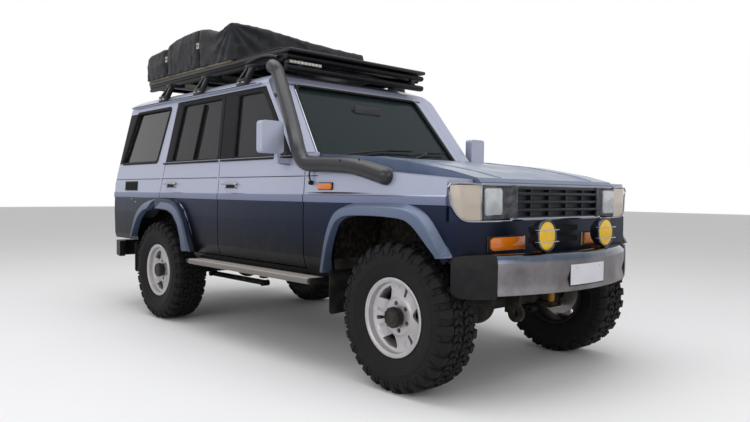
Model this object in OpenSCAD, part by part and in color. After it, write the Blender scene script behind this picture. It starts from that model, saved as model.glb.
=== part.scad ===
// Lifted off-road station wagon with a snorkel, a roof rack and a folded roof tent.
// +X points forward, +Y to the vehicle's left, +Z up. The origin is on the ground, at the middle
// of the vehicle's length and width. Millimetres.

/* [Overall] */
// Distance between the front and rear axles
wheelbase = 2730; // [2500:10:3300]
// Front axle to the front face of the bumper
front_overhang = 625; // [600:5:760]
// Rear axle to the outer face of the back doors
tail_overhang = 885; // [800:5:1100]
// Half width of the body at the doors
body_half = 848; // [800:1:1020]
// Length of a front door
front_door_len = 1010; // [900:5:1100]

/* [Wheels] */
// Outer diameter of a tyre
tyre_d = 780; // [650:5:940]
// Width of a tyre
tyre_w = 268; // [224:2:300]
// Diameter of the rim's bead seat
rim_d = 381; // [330:1:440]
// Wheel centre plane from the vehicle's centreline
track_half = 736; // [720:1:900]
// Steering axis from the centreline
kingpin_half = 640; // [620:1:650]
// Diameter of a wheel hub
hub_d = 112; // [100:1:130]
// Diameter of the spindle that a hub turns on
spindle_d = 60; // [40:1:70]

/* [Body] */
// Whole thickness of a door
door_t = 55; // [45:1:65]
// Thickness of a single skin, such as a front wing
skin_t = 18; // [14:1:22]
// Width of the gap round a door
shut = 8; // [7:0.5:10]
// Width of the gap between the two back doors
back_shut = 16; // [15:1:24]
// Thickness of the window glass
glass_t = 5; // [4:0.5:7]
// Width of the black frame round a side window
frame_w = 42; // [35:1:50]
// How far the wheel arch flares stand out past the doors
flare_out = 47; // [30:1:70]
// Half width of the bonnet at its back edge
bonnet_half = 715; // [680:1:750]

/* [Roof load] */
// Half width of the roof rack
rack_half = 650; // [560:1:700]
// Length of the folded tent
tent_len = 1370; // [1150:10:1500]
// Height of the folded tent over its base
tent_h = 285; // [200:5:340]
// Outer diameter of the snorkel
snorkel_d = 90; // [70:1:96]

/* [Chassis] */
// Outer face of a chassis rail from the centreline
rail_half = 385; // [360:1:390]
// Depth of a chassis rail
rail_h = 130; // [110:1:150]
// Width of a chassis rail
rail_w = 70; // [60:1:80]
// Bore of a towing eye
tow_bore = 40; // [30:1:50]

/* [Hidden] */
$fn = 64;

// Clearance between pieces that rest on each other
seat = 0.3;
// Gap that moving pieces keep from their neighbours
clear = 6;

// Wheels and axles
axle_z = tyre_d / 2;
design_axle_z = 390;
// How far the body stands above its design height, with taller tyres
ride = axle_z - design_axle_z;
arch_k = tyre_d / 780;
spare_standoff = 52;
total_len = front_overhang + wheelbase + tail_overhang + spare_standoff + tyre_w;
fa = total_len / 2 - front_overhang;
ra = fa - wheelbase;
mid_x = (fa + ra) / 2;
tail = ra - tail_overhang;

// Body heights, with the body at its design height
z_sill = 560;
z_crease = 652;
z_break = 972;
z_band = 1018;
z_swage = 1127;
z_belt = 1243;
z_head = 1716;
z_gutter = 1742;
roof_rise = 122;
z_door = 582;

// Shut lines along the body
door_a = fa - 765;
door_b = door_a - front_door_len;
door_c = ra + 35;
lean_c = 190;
// A door's hinge axis behind its front edge
hinge_in = 24;
screen_foot = fa - 860;
screen_slope = 0.76;
pillar = 52;
roof_front = screen_foot - (z_gutter + 62 - z_belt) * screen_slope;
// Length of the windscreen up its slope, and its half width at a place up the slope
screen_len = 642;
function screen_edge(u) = body_half - 200 - (u - 42) * 0.122;
roof_back = tail + 290;
nose = fa + 432;
lamp_face = fa + 405;
wing_front = fa + 362;
bonnet_back = fa - 800;

function reverse(v) = [for (i = [len(v) - 1:-1:0]) v[i]];

// Outer half width of the body at each height: [sideways step from body_half, height]
side_steps_yz = [[-42, z_sill - 22], [-30, z_sill], [-4, z_crease], [2, 850], [0, z_break - 3],
    [6, z_break + 3], [5, z_band - 4], [-2, z_band + 4], [-9, z_swage], [-18, z_belt],
    [-64, z_head], [-68, z_gutter]];
function side_yz(inset) = [for (p = side_steps_yz) [body_half + p[0] - inset, p[1]]];

// Runs its children at the body's height
module body_up() { translate([0, 0, ride]) children(); }

// Draws on the left as given, or mirrored to the right
module on_side(s) { mirror([0, s > 0 ? 0 : 1, 0]) children(); }

// Both sides at once
module both_sides() { on_side(1) children(); on_side(-1) children(); }

// Wall that follows the body's side between two depths under its skin
module side_wall(t0, t1, x0, x1) {
    translate([x0, 0, 0]) rotate([90, 0, 90])
        linear_extrude(x1 - x0) polygon(concat(side_yz(t0), reverse(side_yz(t1))));
}

// Everything inside the body's side at a depth under its skin
module side_fill(t0, x0, x1) {
    pts = side_yz(t0);
    translate([x0, 0, 0]) rotate([90, 0, 90]) linear_extrude(x1 - x0)
        polygon(concat(pts, [[0, pts[len(pts) - 1][1]], [0, pts[0][1]]]));
}

// Prism of an XZ outline between two widths
module xz(pts, y0 = 0, y1 = 1300) {
    translate([0, y1, 0]) rotate([90, 0, 0]) linear_extrude(y1 - y0) polygon(pts);
}

// Prism of an XY outline between two heights
module xy(pts, z0, z1) { translate([0, 0, z0]) linear_extrude(z1 - z0) polygon(pts); }

// Prism of a YZ outline between two places along the vehicle
module yz(pts, x0, x1) {
    translate([x0, 0, 0]) rotate([90, 0, 90]) linear_extrude(x1 - x0) polygon(pts);
}

// Block between two corners
module block(a, b) { translate(a) cube(b - a); }

// Bar of round section between two points
module rod(a, b, d) {
    v = b - a;
    l = norm(v);
    translate(a) rotate([0, acos(v[2] / l), atan2(v[1], v[0])]) cylinder(h = l, d = d);
}

// ---- wheel arches ----

// Opening of the front arch, round the axle: [forward, height at design ride]
function arch_at(x, pts) = [for (p = pts) [x + arch_k * p[0],
    design_axle_z + arch_k * (p[1] - design_axle_z)]];
front_arch_in = arch_at(fa, [[-530, 300], [-518, 560], [-480, 740], [-430, 845], [-380, 885],
    [-300, 904], [-100, 909], [90, 900], [165, 875], [225, 828], [345, 690], [345, 300]]);
front_arch_out = arch_at(fa, [[-560, 576], [-552, 600], [-505, 800], [-455, 905], [-385, 955],
    [-290, 976], [-100, 982], [110, 978], [200, 950], [265, 905], [395, 760], [412, 715]]);
rear_arch_in = arch_at(ra, [[500, 300], [495, 584], [470, 680], [425, 775], [345, 850],
    [250, 880], [100, 888], [-60, 884], [-190, 866], [-300, 800], [-380, 700], [-415, 600],
    [-420, 300]]);
rear_arch_out = arch_at(ra, [[640, 584], [585, 680], [525, 800], [455, 890], [370, 945],
    [250, 966], [100, 971], [-60, 968], [-210, 938], [-330, 860], [-420, 740], [-450, 640]]);

// Flare between an arch's opening and its outer line, standing on the body's side
module flare_ring(inner, outer, sink) {
    pts = side_yz(sink);
    xo = [for (p = outer) p[0]];
    difference() {
        intersection() {
            yz(concat(pts, [[body_half + flare_out - 14, 1100], [body_half + flare_out, 1000],
                [body_half + flare_out, 500]]), min(xo) - 1, max(xo) + 1);
            xz(outer);
        }
        xz(inner);
    }
}

// ---- wheels ----

tyre_seat_r = rim_d / 2;
tyre_r = tyre_d / 2;
rim_flange_r = tyre_seat_r + 17;
bead_half = 104;

// Half of the tyre's section: [radius, sideways]
tyre_half_section = [[tyre_seat_r + seat, bead_half - seat], [rim_flange_r + 1, bead_half - seat],
    [rim_flange_r + 10, bead_half + 6],
    [(tyre_seat_r + tyre_r) / 2 - 40, tyre_w / 2 - 9], [(tyre_seat_r + tyre_r) / 2, tyre_w / 2],
    [tyre_r - 55, tyre_w / 2 - 1], [tyre_r - 22, tyre_w / 2 - 8], [tyre_r - 4, tyre_w / 2 - 26],
    [tyre_r, tyre_w / 2 - 48]];

// Tyre about the Y axis
module tyre() {
    other = [for (p = reverse(tyre_half_section)) [p[0], -p[1]]];
    rotate([90, 0, 0]) rotate_extrude($fn = 96) polygon(concat(tyre_half_section, other));
}

// Rim about the Y axis, its outer face towards +Y
module rim() {
    rotate([-90, 0, 0]) {
        rotate_extrude($fn = 96) polygon([[tyre_seat_r, -bead_half], [tyre_seat_r, bead_half],
            [rim_flange_r, bead_half], [rim_flange_r, bead_half + 8],
            [tyre_seat_r - 8, bead_half + 8], [tyre_seat_r - 8, -bead_half - 8],
            [rim_flange_r, -bead_half - 8], [rim_flange_r, -bead_half]]);
        difference() {
            translate([0, 0, 30]) cylinder(h = 30, r = tyre_seat_r - 7, $fn = 96);
            for (i = [0:5]) rotate([0, 0, 60 * i + 30]) translate([122, 0, 0])
                cylinder(h = 100, d = 62);
            cylinder(h = 100, d = hub_d - 2);
        }
    }
}

// Hub that carries a rim, with its brake disc, about the Y axis
module hub() {
    rotate([-90, 0, 0]) difference() {
        union() {
            translate([0, 0, -30]) cylinder(h = 150, d = hub_d);
            translate([0, 0, -44]) cylinder(h = 16, d = 290);
        }
        translate([0, 0, -50]) cylinder(h = 90, d = spindle_d + 2 * seat);
    }
}

module wheel_at(x, s) { translate([x, 0, axle_z]) on_side(s) translate([0, track_half, 0]) children(); }

// ---- running gear ----

module front_axle() {
    color("dimgray") translate([fa, 0, axle_z]) {
        rotate([90, 0, 0]) cylinder(h = 2 * kingpin_half - 170, d = 90, center = true);
        translate([0, -170, 0]) sphere(d = 220);
        translate([-30, -170, 0]) rotate([0, 90, 0]) cylinder(h = 150, d = 110, center = true);
        both_sides() {
            for (s = [-1, 1]) block([-38, kingpin_half - 86, s > 0 ? 72 : -90],
                [38, kingpin_half + 32, s > 0 ? 90 : -72]);
            block([-38, kingpin_half - 100, -90], [38, kingpin_half - 70, 90]);
            block([20, shock_y - 25, -44], [150, shock_y + 25, -30]);
        }
    }
}

// Knuckle between the axle's yoke, with the spindle and the brake caliper
module knuckle(s) {
    color("dimgray") translate([fa, 0, axle_z]) on_side(s) {
        translate([0, kingpin_half, -66]) cylinder(h = 132, d = 88);
        translate([0, kingpin_half, 60]) cylinder(h = 12 - seat, d = 40);
        translate([0, kingpin_half, -72 + seat]) cylinder(h = 12, d = 40);
        rotate([-90, 0, 0]) translate([0, 0, kingpin_half])
            cylinder(h = track_half - kingpin_half + 36, d = spindle_d);
        block([-130, kingpin_half - 20, -28], [0, kingpin_half + 20, 28]);
        block([-165, kingpin_half - 10, -55], [-118, kingpin_half + 40, 55]);
    }
}

module rear_axle() {
    color("dimgray") translate([ra, 0, axle_z]) {
        rotate([90, 0, 0]) cylinder(h = 2 * track_half - 130, d = 90, center = true);
        sphere(d = 230);
        rotate([0, 90, 0]) cylinder(h = 160, d = 110);
        both_sides() {
            rotate([-90, 0, 0]) translate([0, 0, track_half - 66])
                cylinder(h = 102, d = spindle_d);
            rotate([-90, 0, 0]) translate([0, 0, track_half - 76]) cylinder(h = 20, d = 150);
            block([-140, shock_y - 25, -44], [-20, shock_y + 25, -30]);
        }
    }
}

rail_top = 640;
shock_y = 425;
shock_top = 784;

// Springs, dampers and the arms that locate the axles
module suspension() {
    spring_z = axle_z + 45 + seat;
    arm_z = axle_z - 45 - 23 - seat;
    color("gold") both_sides() {
        for (x = [fa, ra]) translate([x, rail_half - rail_w / 2, spring_z])
            cylinder(h = rail_top - rail_h + ride - seat - spring_z, d = 120);
        translate([fa + 120, shock_y, axle_z - 30 + seat])
            cylinder(h = shock_top + ride - axle_z + 30 - 2 * seat, d = 44);
        translate([ra - 110, shock_y, axle_z - 30 + seat])
            cylinder(h = 620 + ride - axle_z + 30 - 2 * seat, d = 44);
    }
    color("darkslategray") both_sides() {
        rod([fa + 50, 320, arm_z], [fa - 820, 320, arm_z], 46);
        rod([ra - 50, 320, arm_z], [ra + 760, 320, arm_z], 46);
    }
}

// How far a towing eye's centre hangs below the chassis rails
eye_drop = 94;

module chassis_frame() {
    z0 = rail_top - rail_h;
    color("black") body_up() {
        both_sides() {
            block([tail + 40, rail_half - rail_w, z0], [fa + 400, rail_half, rail_top]);
            block([ra - 140, rail_half - 5, 620], [ra - 80, shock_y + 25, 636]);
            for (x = [fa - 810, ra + 740]) block([x - 30, 300, z0 - 160 + 8], [x + 30, 340, z0]);
            for (x = [fa - 600, ra + 560]) block([x - 60, rail_half - rail_w, z0 - 8],
                [x + 60, rail_half, z0]);
        }
        for (x = [fa + 330, fa - 280, fa - 1040, ra + 640, ra - 330, tail + 60])
            block([x - 40, -rail_half + rail_w, z0 + 20], [x + 40, rail_half - rail_w, z0 + 100]);
        for (x = [fa + 400, tail + 90]) {
            d = x > 0 ? 1 : -1;
            difference() {
                union() {
                    block([x - 45, -rail_half + 15, z0 - eye_drop], [x + 45, -rail_half + 40, z0 + 30]);
                    translate([x + d * 20, -rail_half + 40, z0 - eye_drop]) rotate([90, 0, 0])
                        cylinder(h = 25, d = tow_bore + 50);
                }
                translate([x + d * 20, -rail_half + 60, z0 - eye_drop]) rotate([90, 0, 0])
                    cylinder(h = 60, d = tow_bore);
            }
        }
    }
}

module powertrain() {
    color("gray") body_up() {
        block([fa - 330, -270, 632], [fa + 250, 270, 1040]);
        both_sides() block([fa - 60, 260, rail_top + seat], [fa + 20, 330, rail_top + 60]);
        block([fa - 980, -150, 440], [fa - 330, 150, 632]);
        rod([fa - 975, -60, 480], [ra + 165, 0, design_axle_z + 30], 68);
        rod([fa - 760, -170, 520], [fa - 110, -170, design_axle_z + 20], 56);
    }
}

module exhaust() {
    color("saddlebrown") body_up() {
        for (i = [0:len(exhaust_path) - 2]) rod(exhaust_path[i], exhaust_path[i + 1], 52);
        for (i = [1:len(exhaust_path) - 2]) translate(exhaust_path[i]) sphere(d = 55);
        translate([ra + 790, 235, 480]) rotate([0, 90, 0]) cylinder(h = 480, d = 150);
        translate([ra + 640, 235, 490]) cylinder(h = 40 - seat, d = 16);
    }
}
exhaust_path = [[fa - 700, 235, 480], [ra + 300, 235, 480], [ra + 170, 235, 575], [ra - 150, 235, 575],
    [ra - 270, 235, 492], [tail + 30, 235, 470]];

module fuel_tank() {
    color("black") body_up() block([tail + 160, -170, 420], [ra - 300, 190, 530 - seat]);
}

// ---- body ----

// Outline of a front door, drawn in by a step all round
function screen_x(z) = screen_foot - (z - z_belt) * screen_slope;
function front_door_xz(i) = [[door_a - shut / 2 - i, z_door + i], [door_a - shut / 2 - i, z_belt - i],
    [screen_x(z_belt) - pillar - i, z_belt - i], [screen_x(z_head) - pillar - i * 1.6, z_head - i],
    [door_b + shut / 2 + i, z_head - i], [door_b + shut / 2 + i, z_door + i]];

// Outline of a front door's window
function front_window_xz(i) = [[screen_x(z_belt + 14) - pillar - frame_w - i * 1.2, z_belt + 14 + i],
    [screen_x(z_head - 20) - pillar - frame_w - i * 1.6, z_head - 20 - i],
    [door_b + 172 + i, z_head - 20 - i], [door_b + 172 + i, z_belt + 14 + i]];

// Back edge of a rear door at a height above the arch
function rear_edge_x(z) = z < z_band ? door_c : door_c + lean_c * (z - z_band) / (z_head - z_band);
function rear_door_xz(i) = concat([[door_b - shut / 2 - i, z_door + i], [door_b - shut / 2 - i, z_head - i],
    [rear_edge_x(z_head) + shut / 2 + i, z_head - i], [door_c + shut / 2 + i, z_band],
    [door_c + shut / 2 + i, 888 + i]],
    reverse([for (p = rear_arch_in) if (p[0] > door_c + 20 && p[1] > z_door) [p[0] + i, p[1] + i * 0.7]]),
    [[rear_arch_in[1][0] + i, z_door + i]]);
function rear_window_xz(i) = [[door_b - 42 - i, z_belt + 14 + i], [door_b - 42 - i, z_head - 20 - i],
    [rear_edge_x(z_head) + 92 + i, z_head - 20 - i], [rear_edge_x(z_belt) + 92 + i, z_belt + 14 + i]];

// Quarter window behind the rear door
function quarter_xz(i) = [[rear_edge_x(z_belt) - 152 - i, z_belt + 18 + i],
    [rear_edge_x(z_head) - 106 - i, z_head - 22 - i], [roof_back + 82 + i, z_head - 22 - i],
    [tail + 130 + i, z_belt + 18 + i]];

// Back of the body seen from the side: [forward of the tail, height]
function tail_xz(t) = [[tail + t, z_sill + 50], [tail + t, 1090], [tail + 60 + t, z_belt + 10],
    [roof_back - 55 + t, z_gutter]];

// A door: full outline on its outer skin, drawn in a little behind it
module door_panel(outline, window) {
    difference() {
        union() {
            intersection() { side_wall(0, 22, ra - 100, fa); xz(outline[0]); }
            intersection() { side_wall(20, door_t, ra - 100, fa); xz(outline[1]); }
        }
        xz(window);
    }
}

// Door mirror on its arm
module mirror_arm() {
    x = screen_x(z_belt) - pillar - 24;
    y = body_half + 74;
    block([x - 22, body_half - 30, z_belt - 40], [x + 22, y + 10, z_belt - 8]);
    block([x - 16, y - 14, z_belt - 20], [x + 16, y + 10, z_belt + 60]);
    hull() for (dy = [0, 112], dz = [0, 150]) translate([x - 10, y - 14 + dy, z_belt + 42 + dz])
        rotate([0, 90, 0]) cylinder(h = 60, d = 44, center = true, $fn = 32);
}

module front_door(s) {
    color("lightsteelblue") body_up() on_side(s) union() {
        door_panel([front_door_xz(0), front_door_xz(10)], front_window_xz(0));
        mirror_arm();
    }
}

module rear_door(s) {
    color("lightsteelblue") body_up() on_side(s) union() {
        door_panel([rear_door_xz(0), rear_door_xz(10)], rear_window_xz(0));
        intersection() {
            flare_ring(rear_arch_in, rear_arch_out, 2);
            block([door_c + shut / 2, 0, z_door], [ra + 900, 1300, 1200]);
        }
    }
}

module door_glass(s, window) {
    color("slategray", 0.4) body_up() on_side(s) intersection() {
        side_wall(20, 20 + glass_t, ra, fa);
        xz(window);
    }
}

// Slab in the windscreen's plane: outline [across, up the slope from its foot], depth behind it
module screen_slab(pts, depth, start = 0) {
    translate([screen_x(z_belt), 0, z_belt]) rotate([0, -atan(screen_slope), 0])
        yz(pts, -depth - start, -start);
}

module body_sides() {
    inner0 = door_t + clear;
    inner1 = inner0 + 42;
    color("lightsteelblue") body_up() both_sides() difference() {
        union() {
            // Quarter panel and C pillar
            intersection() {
                side_wall(0, inner1, tail, door_c + lean_c + 50);
                xz(concat(tail_xz(0), [[rear_edge_x(z_gutter) - shut / 2, z_gutter],
                    [door_c - shut / 2, z_band], [door_c - shut / 2, z_sill + 50]]));
            }
            // Roof rail over the doors
            intersection() {
                side_wall(0, inner1, rear_edge_x(z_gutter) - 200, screen_x(z_gutter) - 20);
                block([ra - 300, 0, z_head + shut], [fa, 1300, z_gutter]);
            }
            // Frame behind the doors
            side_wall(inner0, inner1, door_c - 40, door_a - shut / 2);
            // Seats of the doors beside their hinges
            for (x = [door_a - shut / 2 - hinge_in, door_b - shut / 2 - hinge_in], z = [740, 1060]) intersection() {
                side_wall(door_t + seat, inner0 + 1, x - 60, x - 26);
                block([x - 60, 0, z], [x - 26, 1300, z + 80]);
            }
            // Sill under the doors
            intersection() {
                side_wall(0, inner1, ra + 560, door_a);
                block([ra, 0, z_sill - 30], [fa, 1300, z_door - shut]);
            }
            // A pillar
            intersection() {
                side_wall(0, inner1, screen_x(z_gutter) - 80, door_a - shut / 2);
                xz([[door_a - shut / 2, z_belt + shut - 2], [screen_x(z_belt) - pillar + shut, z_belt + shut - 2],
                    [screen_x(z_gutter) - pillar + shut, z_gutter + 1], [screen_x(z_gutter), z_gutter + 1],
                    [screen_x(z_belt + 30), z_belt + 30], [door_a - shut / 2, z_belt + 24]]);
            }
            // Face of the pillar beside the windscreen
            intersection() {
                screen_slab([[screen_edge(0) + seat, 0], [1000, 0], [1000, 800], [screen_edge(800) + seat, 800]], 34);
                side_fill(1, screen_x(z_gutter) - 80, door_a);
                block([0, 0, z_belt + 36], [door_a, 1300, z_gutter]);
            }
        }
        // Room for the back doors
        for (s = [-1, 1]) mirror([0, s < 0 ? 1 : 0, 0])
            mirror([0, 1, 0]) yz(back_door_yz(-1, -shut), tail - 10, tail + 400);
        // Ahead of the windscreen's line
        xz([[screen_x(z_belt + 32) + 1, z_belt + 32], [fa + 100, z_belt + 32], [fa + 100, z_gutter + 10],
            [screen_x(z_gutter + 10) + 1, z_gutter + 10]]);
        // Door openings in the inner frame
        xz([[door_a - 90, z_door + 70], [door_a - 90, z_belt - 30], [screen_x(z_belt) - pillar - 60, z_belt - 30],
            [screen_x(z_head) - pillar - 60, z_head - 50], [door_b + 70, z_head - 50], [door_b + 70, z_door + 70]]);
        xz([[door_b - 70, z_door + 70], [door_b - 70, z_head - 50], [rear_edge_x(z_head) + 60, z_head - 50],
            [rear_edge_x(z_belt) + 60, z_belt], [ra + 200, 960], [ra + 420, 860], [ra + 520, z_door + 70]]);
        xz(quarter_xz(0));
        xz(rear_arch_in);
        intersection() {
            xz(rear_arch_out);
            block([ra, 0, 300], [ra + 900, body_half - inner0 + 20, 1000]);
        }
    }
}

// Height of the roof over its gutter at a place across it
function roof_z(y, half) = z_gutter + roof_rise * pow(1 - pow(abs(y) / half, 4), 0.62);
roof_half = body_half - 66;
roof_across = [for (i = [-14:14]) sin(i * 90 / 14)];

// Solid under the roof's skin, lowered by a step
module roof_solid(drop, inset) {
    intersection() {
        yz([for (s = roof_across) [s * (roof_half - inset), roof_z(s * roof_half, roof_half) - drop]],
            roof_back - 60, roof_front + 60);
        xz([[roof_back - 55, z_gutter - 1], [roof_back - 50, z_gutter + 40 - drop], [roof_back + 10, z_gutter + 92 - drop],
            [roof_back + 150, z_gutter + 140 - drop], [roof_front - 380, z_gutter + 140 - drop],
            [roof_front - 110, z_gutter + 104 - drop], [roof_front, z_gutter + 62 - drop],
            [screen_x(z_gutter - 1), z_gutter - 1]], -900, 900);
    }
}

module roof_panel() {
    color("lightsteelblue") body_up() translate([0, 0, seat]) {
        difference() {
            roof_solid(0, 0);
            translate([0, 0, -2]) intersection() {
                roof_solid(24, 40);
                block([roof_back - 20, -900, z_gutter - 40], [roof_front - 40, 900, z_gutter + 200]);
            }
            // Seat of the windscreen's top edge
            translate([0, 0, -seat]) screen_slab([[-640, 500], [640, 500], [640, screen_len + 4],
                [-640, screen_len + 4]], 120, -1);
        }
        // Rain gutters
        both_sides() block([roof_back - 20, roof_half - 4, z_gutter], [roof_front - 40, roof_half + 22, z_gutter + 8]);
        // Header over the back doors
        intersection() {
            xz(concat(tail_xz(0), reverse(tail_xz(50))), -back_half + 66, back_half - 66);
            block([tail, -900, 1708], [ra, 900, z_gutter]);
        }
    }
}

// Half width of the cabin's floor, between the side frames
cabin_half = body_half - door_t - clear - 42 - 12;

module floor_pan() {
    w = cabin_half;
    color("dimgray") body_up() {
        difference() {
            block([tail + 60, -w, rail_top + seat], [fa - 596, w, rail_top + 26]);
            both_sides() block([ra - 440, 560, 500], [ra + 520, 900, 800]);
        }
        // Rear wheel housings
        both_sides() difference() {
            block([ra - 450, 545, rail_top + 20], [ra + 500, w, 920]);
            block([ra - 438, 557, 500], [ra + 488, 1000, 908]);
        }
        // Sill under the back doors
        block([tail + 5, -back_half + 20, 610 + seat], [tail + 39, back_half - 20, 632]);
        block([tail + 2, -300, 610 + seat], [tail + 75, 300, 632]);
        block([tail + 62, -300, 610 + seat], [tail + 75, 300, rail_top + 5]);
        // Seats of the back doors beside their hinges
        both_sides() block([tail + back_t + seat, back_half - 110, 658], [tail + 62, back_half - 50, 720]);
    }
}

// Firewall and scuttle, standing on the floor's front edge
module bulkhead() {
    w = cabin_half;
    color("dimgray") body_up() {
        difference() {
            block([fa - 620, -w, rail_top + 26 + seat], [fa - 596, w, z_belt - 88]);
            block([fa - 700, -130, 500], [fa - 500, 130, 760]);
        }
        block([screen_foot + 30, -w, z_belt - 102], [fa - 596, w, z_belt - 88]);
        xz([[screen_foot + 4, z_belt - 102], [screen_foot + 4, z_belt - 4], [screen_x(z_belt + 28), z_belt + 28],
            [bonnet_back - clear - 20, z_belt + 14], [bonnet_back - clear - 4, z_belt - 6],
            [bonnet_back - clear - 4, z_belt - 102]], -body_half + 134, body_half - 134);
    }
}

module inner_wings() {
    color("dimgray") body_up() {
        both_sides() {
            difference() {
                block([fa - 590, 384, rail_top + 2], [fa + 340, 398, 1040]);
                block([fa - 250, 300, 400], [fa - 160, 500, 700]);
            }
            xz([[fa - 590, 1028], [fa - 590, 1040], [fa + 340, 1016], [fa + 340, 1004]], 384, body_half - 40);
            block([fa - 590, 384, rail_top + 2], [fa - 576, body_half - 46, 1034]);
            block([fa + 90, 397, shock_top], [fa + 150, shock_y + 25, shock_top + 16]);
        }
        block([fa + 330, -640, 700], [fa + 350, 640, 1040]);
        block([fa + 268, -300, 660], [fa + 330, 300, 1010]);
        // Stops that the bonnet rests on
        both_sides() translate([fa + 340, 500, 1030]) cylinder(h = bonnet_z(fa + 350) - 22 - 1030 - seat, d = 20);
    }
}

// Top edge of a front wing along the bonnet
function wing_top(x) = 1104 + (fa + 340 - x) * 0.088;
function bonnet_edge(x) = bonnet_half - (x - bonnet_back) * 0.06;

module front_wings() {
    x0 = door_a + shut / 2;
    color("lightsteelblue") body_up() both_sides() difference() {
        intersection() {
            union() {
                side_wall(0, skin_t, x0, wing_front);
                xz([[x0, wing_top(x0) - 22], [x0, wing_top(x0)], [wing_front, wing_top(wing_front)],
                    [wing_front, wing_top(wing_front) - 22]], 0, body_half + 5);
                block([x0, body_half - 78, 600], [x0 + 14, 1300, 1200]);
            }
            side_fill(0, x0, wing_front);
            xz([[x0, z_sill - 10], [x0, wing_top(x0)], [wing_front, wing_top(wing_front)], [wing_front, 700],
                [fa - 300, 400]]);
            xy([[x0, bonnet_edge(x0) + clear + 2], [x0, 1000], [wing_front, 1000],
                [wing_front, bonnet_edge(wing_front) + clear + 2]], 500, 1300);
        }
        xz(front_arch_in);
    }
}

// Height of the bonnet's skin along the vehicle
bonnet_xz = [[bonnet_back, z_belt + 22], [fa - 500, z_belt + 6], [fa - 100, z_belt - 36],
    [fa + 220, z_belt - 92], [fa + 380, z_belt - 132], [fa + 402, z_belt - 152]];
function bonnet_z(x) = lookup(-x, [for (p = bonnet_xz) [-p[0], p[1]]]);
function drop_pts(v, d) = [for (p = v) [p[0], p[1] - d]];

module bonnet_solid(drop, inset) {
    intersection() {
        xz(concat(drop_pts(bonnet_xz, drop), [[fa + 402 - inset, 1000], [bonnet_back + inset, 1000]]),
            -800, 800);
        xy([[bonnet_back + inset, bonnet_edge(bonnet_back) - inset], [fa + 402 - inset, bonnet_edge(fa + 402) - inset],
            [fa + 402 - inset, -bonnet_edge(fa + 402) + inset], [bonnet_back + inset, -bonnet_edge(bonnet_back) + inset]],
            900, 1400);
    }
}

module bonnet() {
    color("lightsteelblue") body_up() difference() {
        bonnet_solid(0, 0);
        bonnet_solid(22, 22);
        xz([[bonnet_back - 10, 900], [bonnet_back - 10, wing_top(bonnet_back) - 18],
            [fa + 410, wing_top(fa + 410) - 18], [fa + 410, 900]], -900, 900);
    }
}

module fixed_glass() {
    color("slategray", 0.4) body_up() {
        screen_slab([[-screen_edge(42), 42], [screen_edge(42), 42], [screen_edge(screen_len), screen_len],
            [-screen_edge(screen_len), screen_len]], glass_t, 14);
        both_sides() intersection() {
            side_wall(20, 20 + glass_t, tail, ra + 300);
            xz(quarter_xz(seat));
        }
    }
}

// ---- back doors ----

back_half = body_half - 108;
back_t = 42;
split = 190;

// Outline of a back door from its hinged side to its closing edge, drawn in by a step
function back_door_yz(s, i) = let (c = s < 0 ? split - back_shut / 2 : -split - back_shut / 2)
    [[c - i, 640 + i], [c - i, 1700 - i], [-back_half + 52 + i, 1700 - i],
    [-back_half + i, z_belt + 20], [-back_half + i, 640 + i]];
function back_window_yz(s, i) = let (c = s < 0 ? split - back_shut / 2 : -split - back_shut / 2)
    [[c - 60 - i, z_belt + 30 + i], [c - 60 - i, 1650 - i], [-back_half + 108 + i, 1650 - i],
    [-back_half + 70 + i, z_belt + 30 + i]];

// Slab that follows the back of the body between two depths
module tail_wall(t0, t1) {
    xz(concat(tail_xz(t0), reverse(tail_xz(t1))), -1000, 1000);
}

// A back door on the right (s = -1) or the left (s = 1)
module back_door(s) {
    color("lightsteelblue") body_up() mirror([0, s < 0 ? 0 : 1, 0]) difference() {
        union() {
            intersection() { tail_wall(0, 14); yz(back_door_yz(s, 0), tail - 10, tail + 400); }
            intersection() { tail_wall(12, back_t); yz(back_door_yz(s, 14), tail - 10, tail + 400); }
            if (s < 0) translate([tail + 10, 0, 0]) rotate([0, -90, 0])
                translate([spare_z, spare_y, 0]) cylinder(h = 10 + spare_standoff + tyre_w / 2 + 60, d = 110);
        }
        yz(back_window_yz(s, 0), tail - 10, tail + 400);
    }
}

module back_glass(s) {
    color("slategray", 0.4) body_up() mirror([0, s < 0 ? 0 : 1, 0]) intersection() {
        tail_wall(14, 14 + glass_t);
        yz(back_window_yz(s, seat), tail - 10, tail + 400);
    }
}

spare_z = 985;
spare_y = -190;

module spare_wheel() {
    color("black") body_up() translate([tail - spare_standoff - tyre_w / 2, spare_y, spare_z]) rotate([0, 0, 90]) {
        tyre();
        difference() {
            rim();
            rotate([90, 0, 0]) cylinder(h = 300, d = 110 + 4 * seat, center = true);
        }
    }
}

// ---- front end ----

module grille() {
    color("darkgray") body_up() {
        for (z = [908, 950, 992, 1034, 1066]) block([nose - 34, -420, z - 8], [nose, 420, z + 8]);
        for (y = [-420, -252, -84, 84, 252, 408]) block([nose - 34, y, 900], [nose - 8, y + 12, 1074]);
        block([nose - 44, -430, 900], [nose - 30, 430, 1074]);
        both_sides() block([fa + 350 + seat, 380, 940], [nose - 40, 396, 1060]);
    }
}

// Corner lamp: its outline from above, and the slanted lower edge that runs out to the wing
corner_plan = [[wing_front + seat, 642], [lamp_face, 642], [lamp_face - 12, 790],
    [wing_front + seat + 10, body_half - 12], [wing_front + seat, body_half - 12]];
corner_foot = 700;
corner_rise = 1018;

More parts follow.
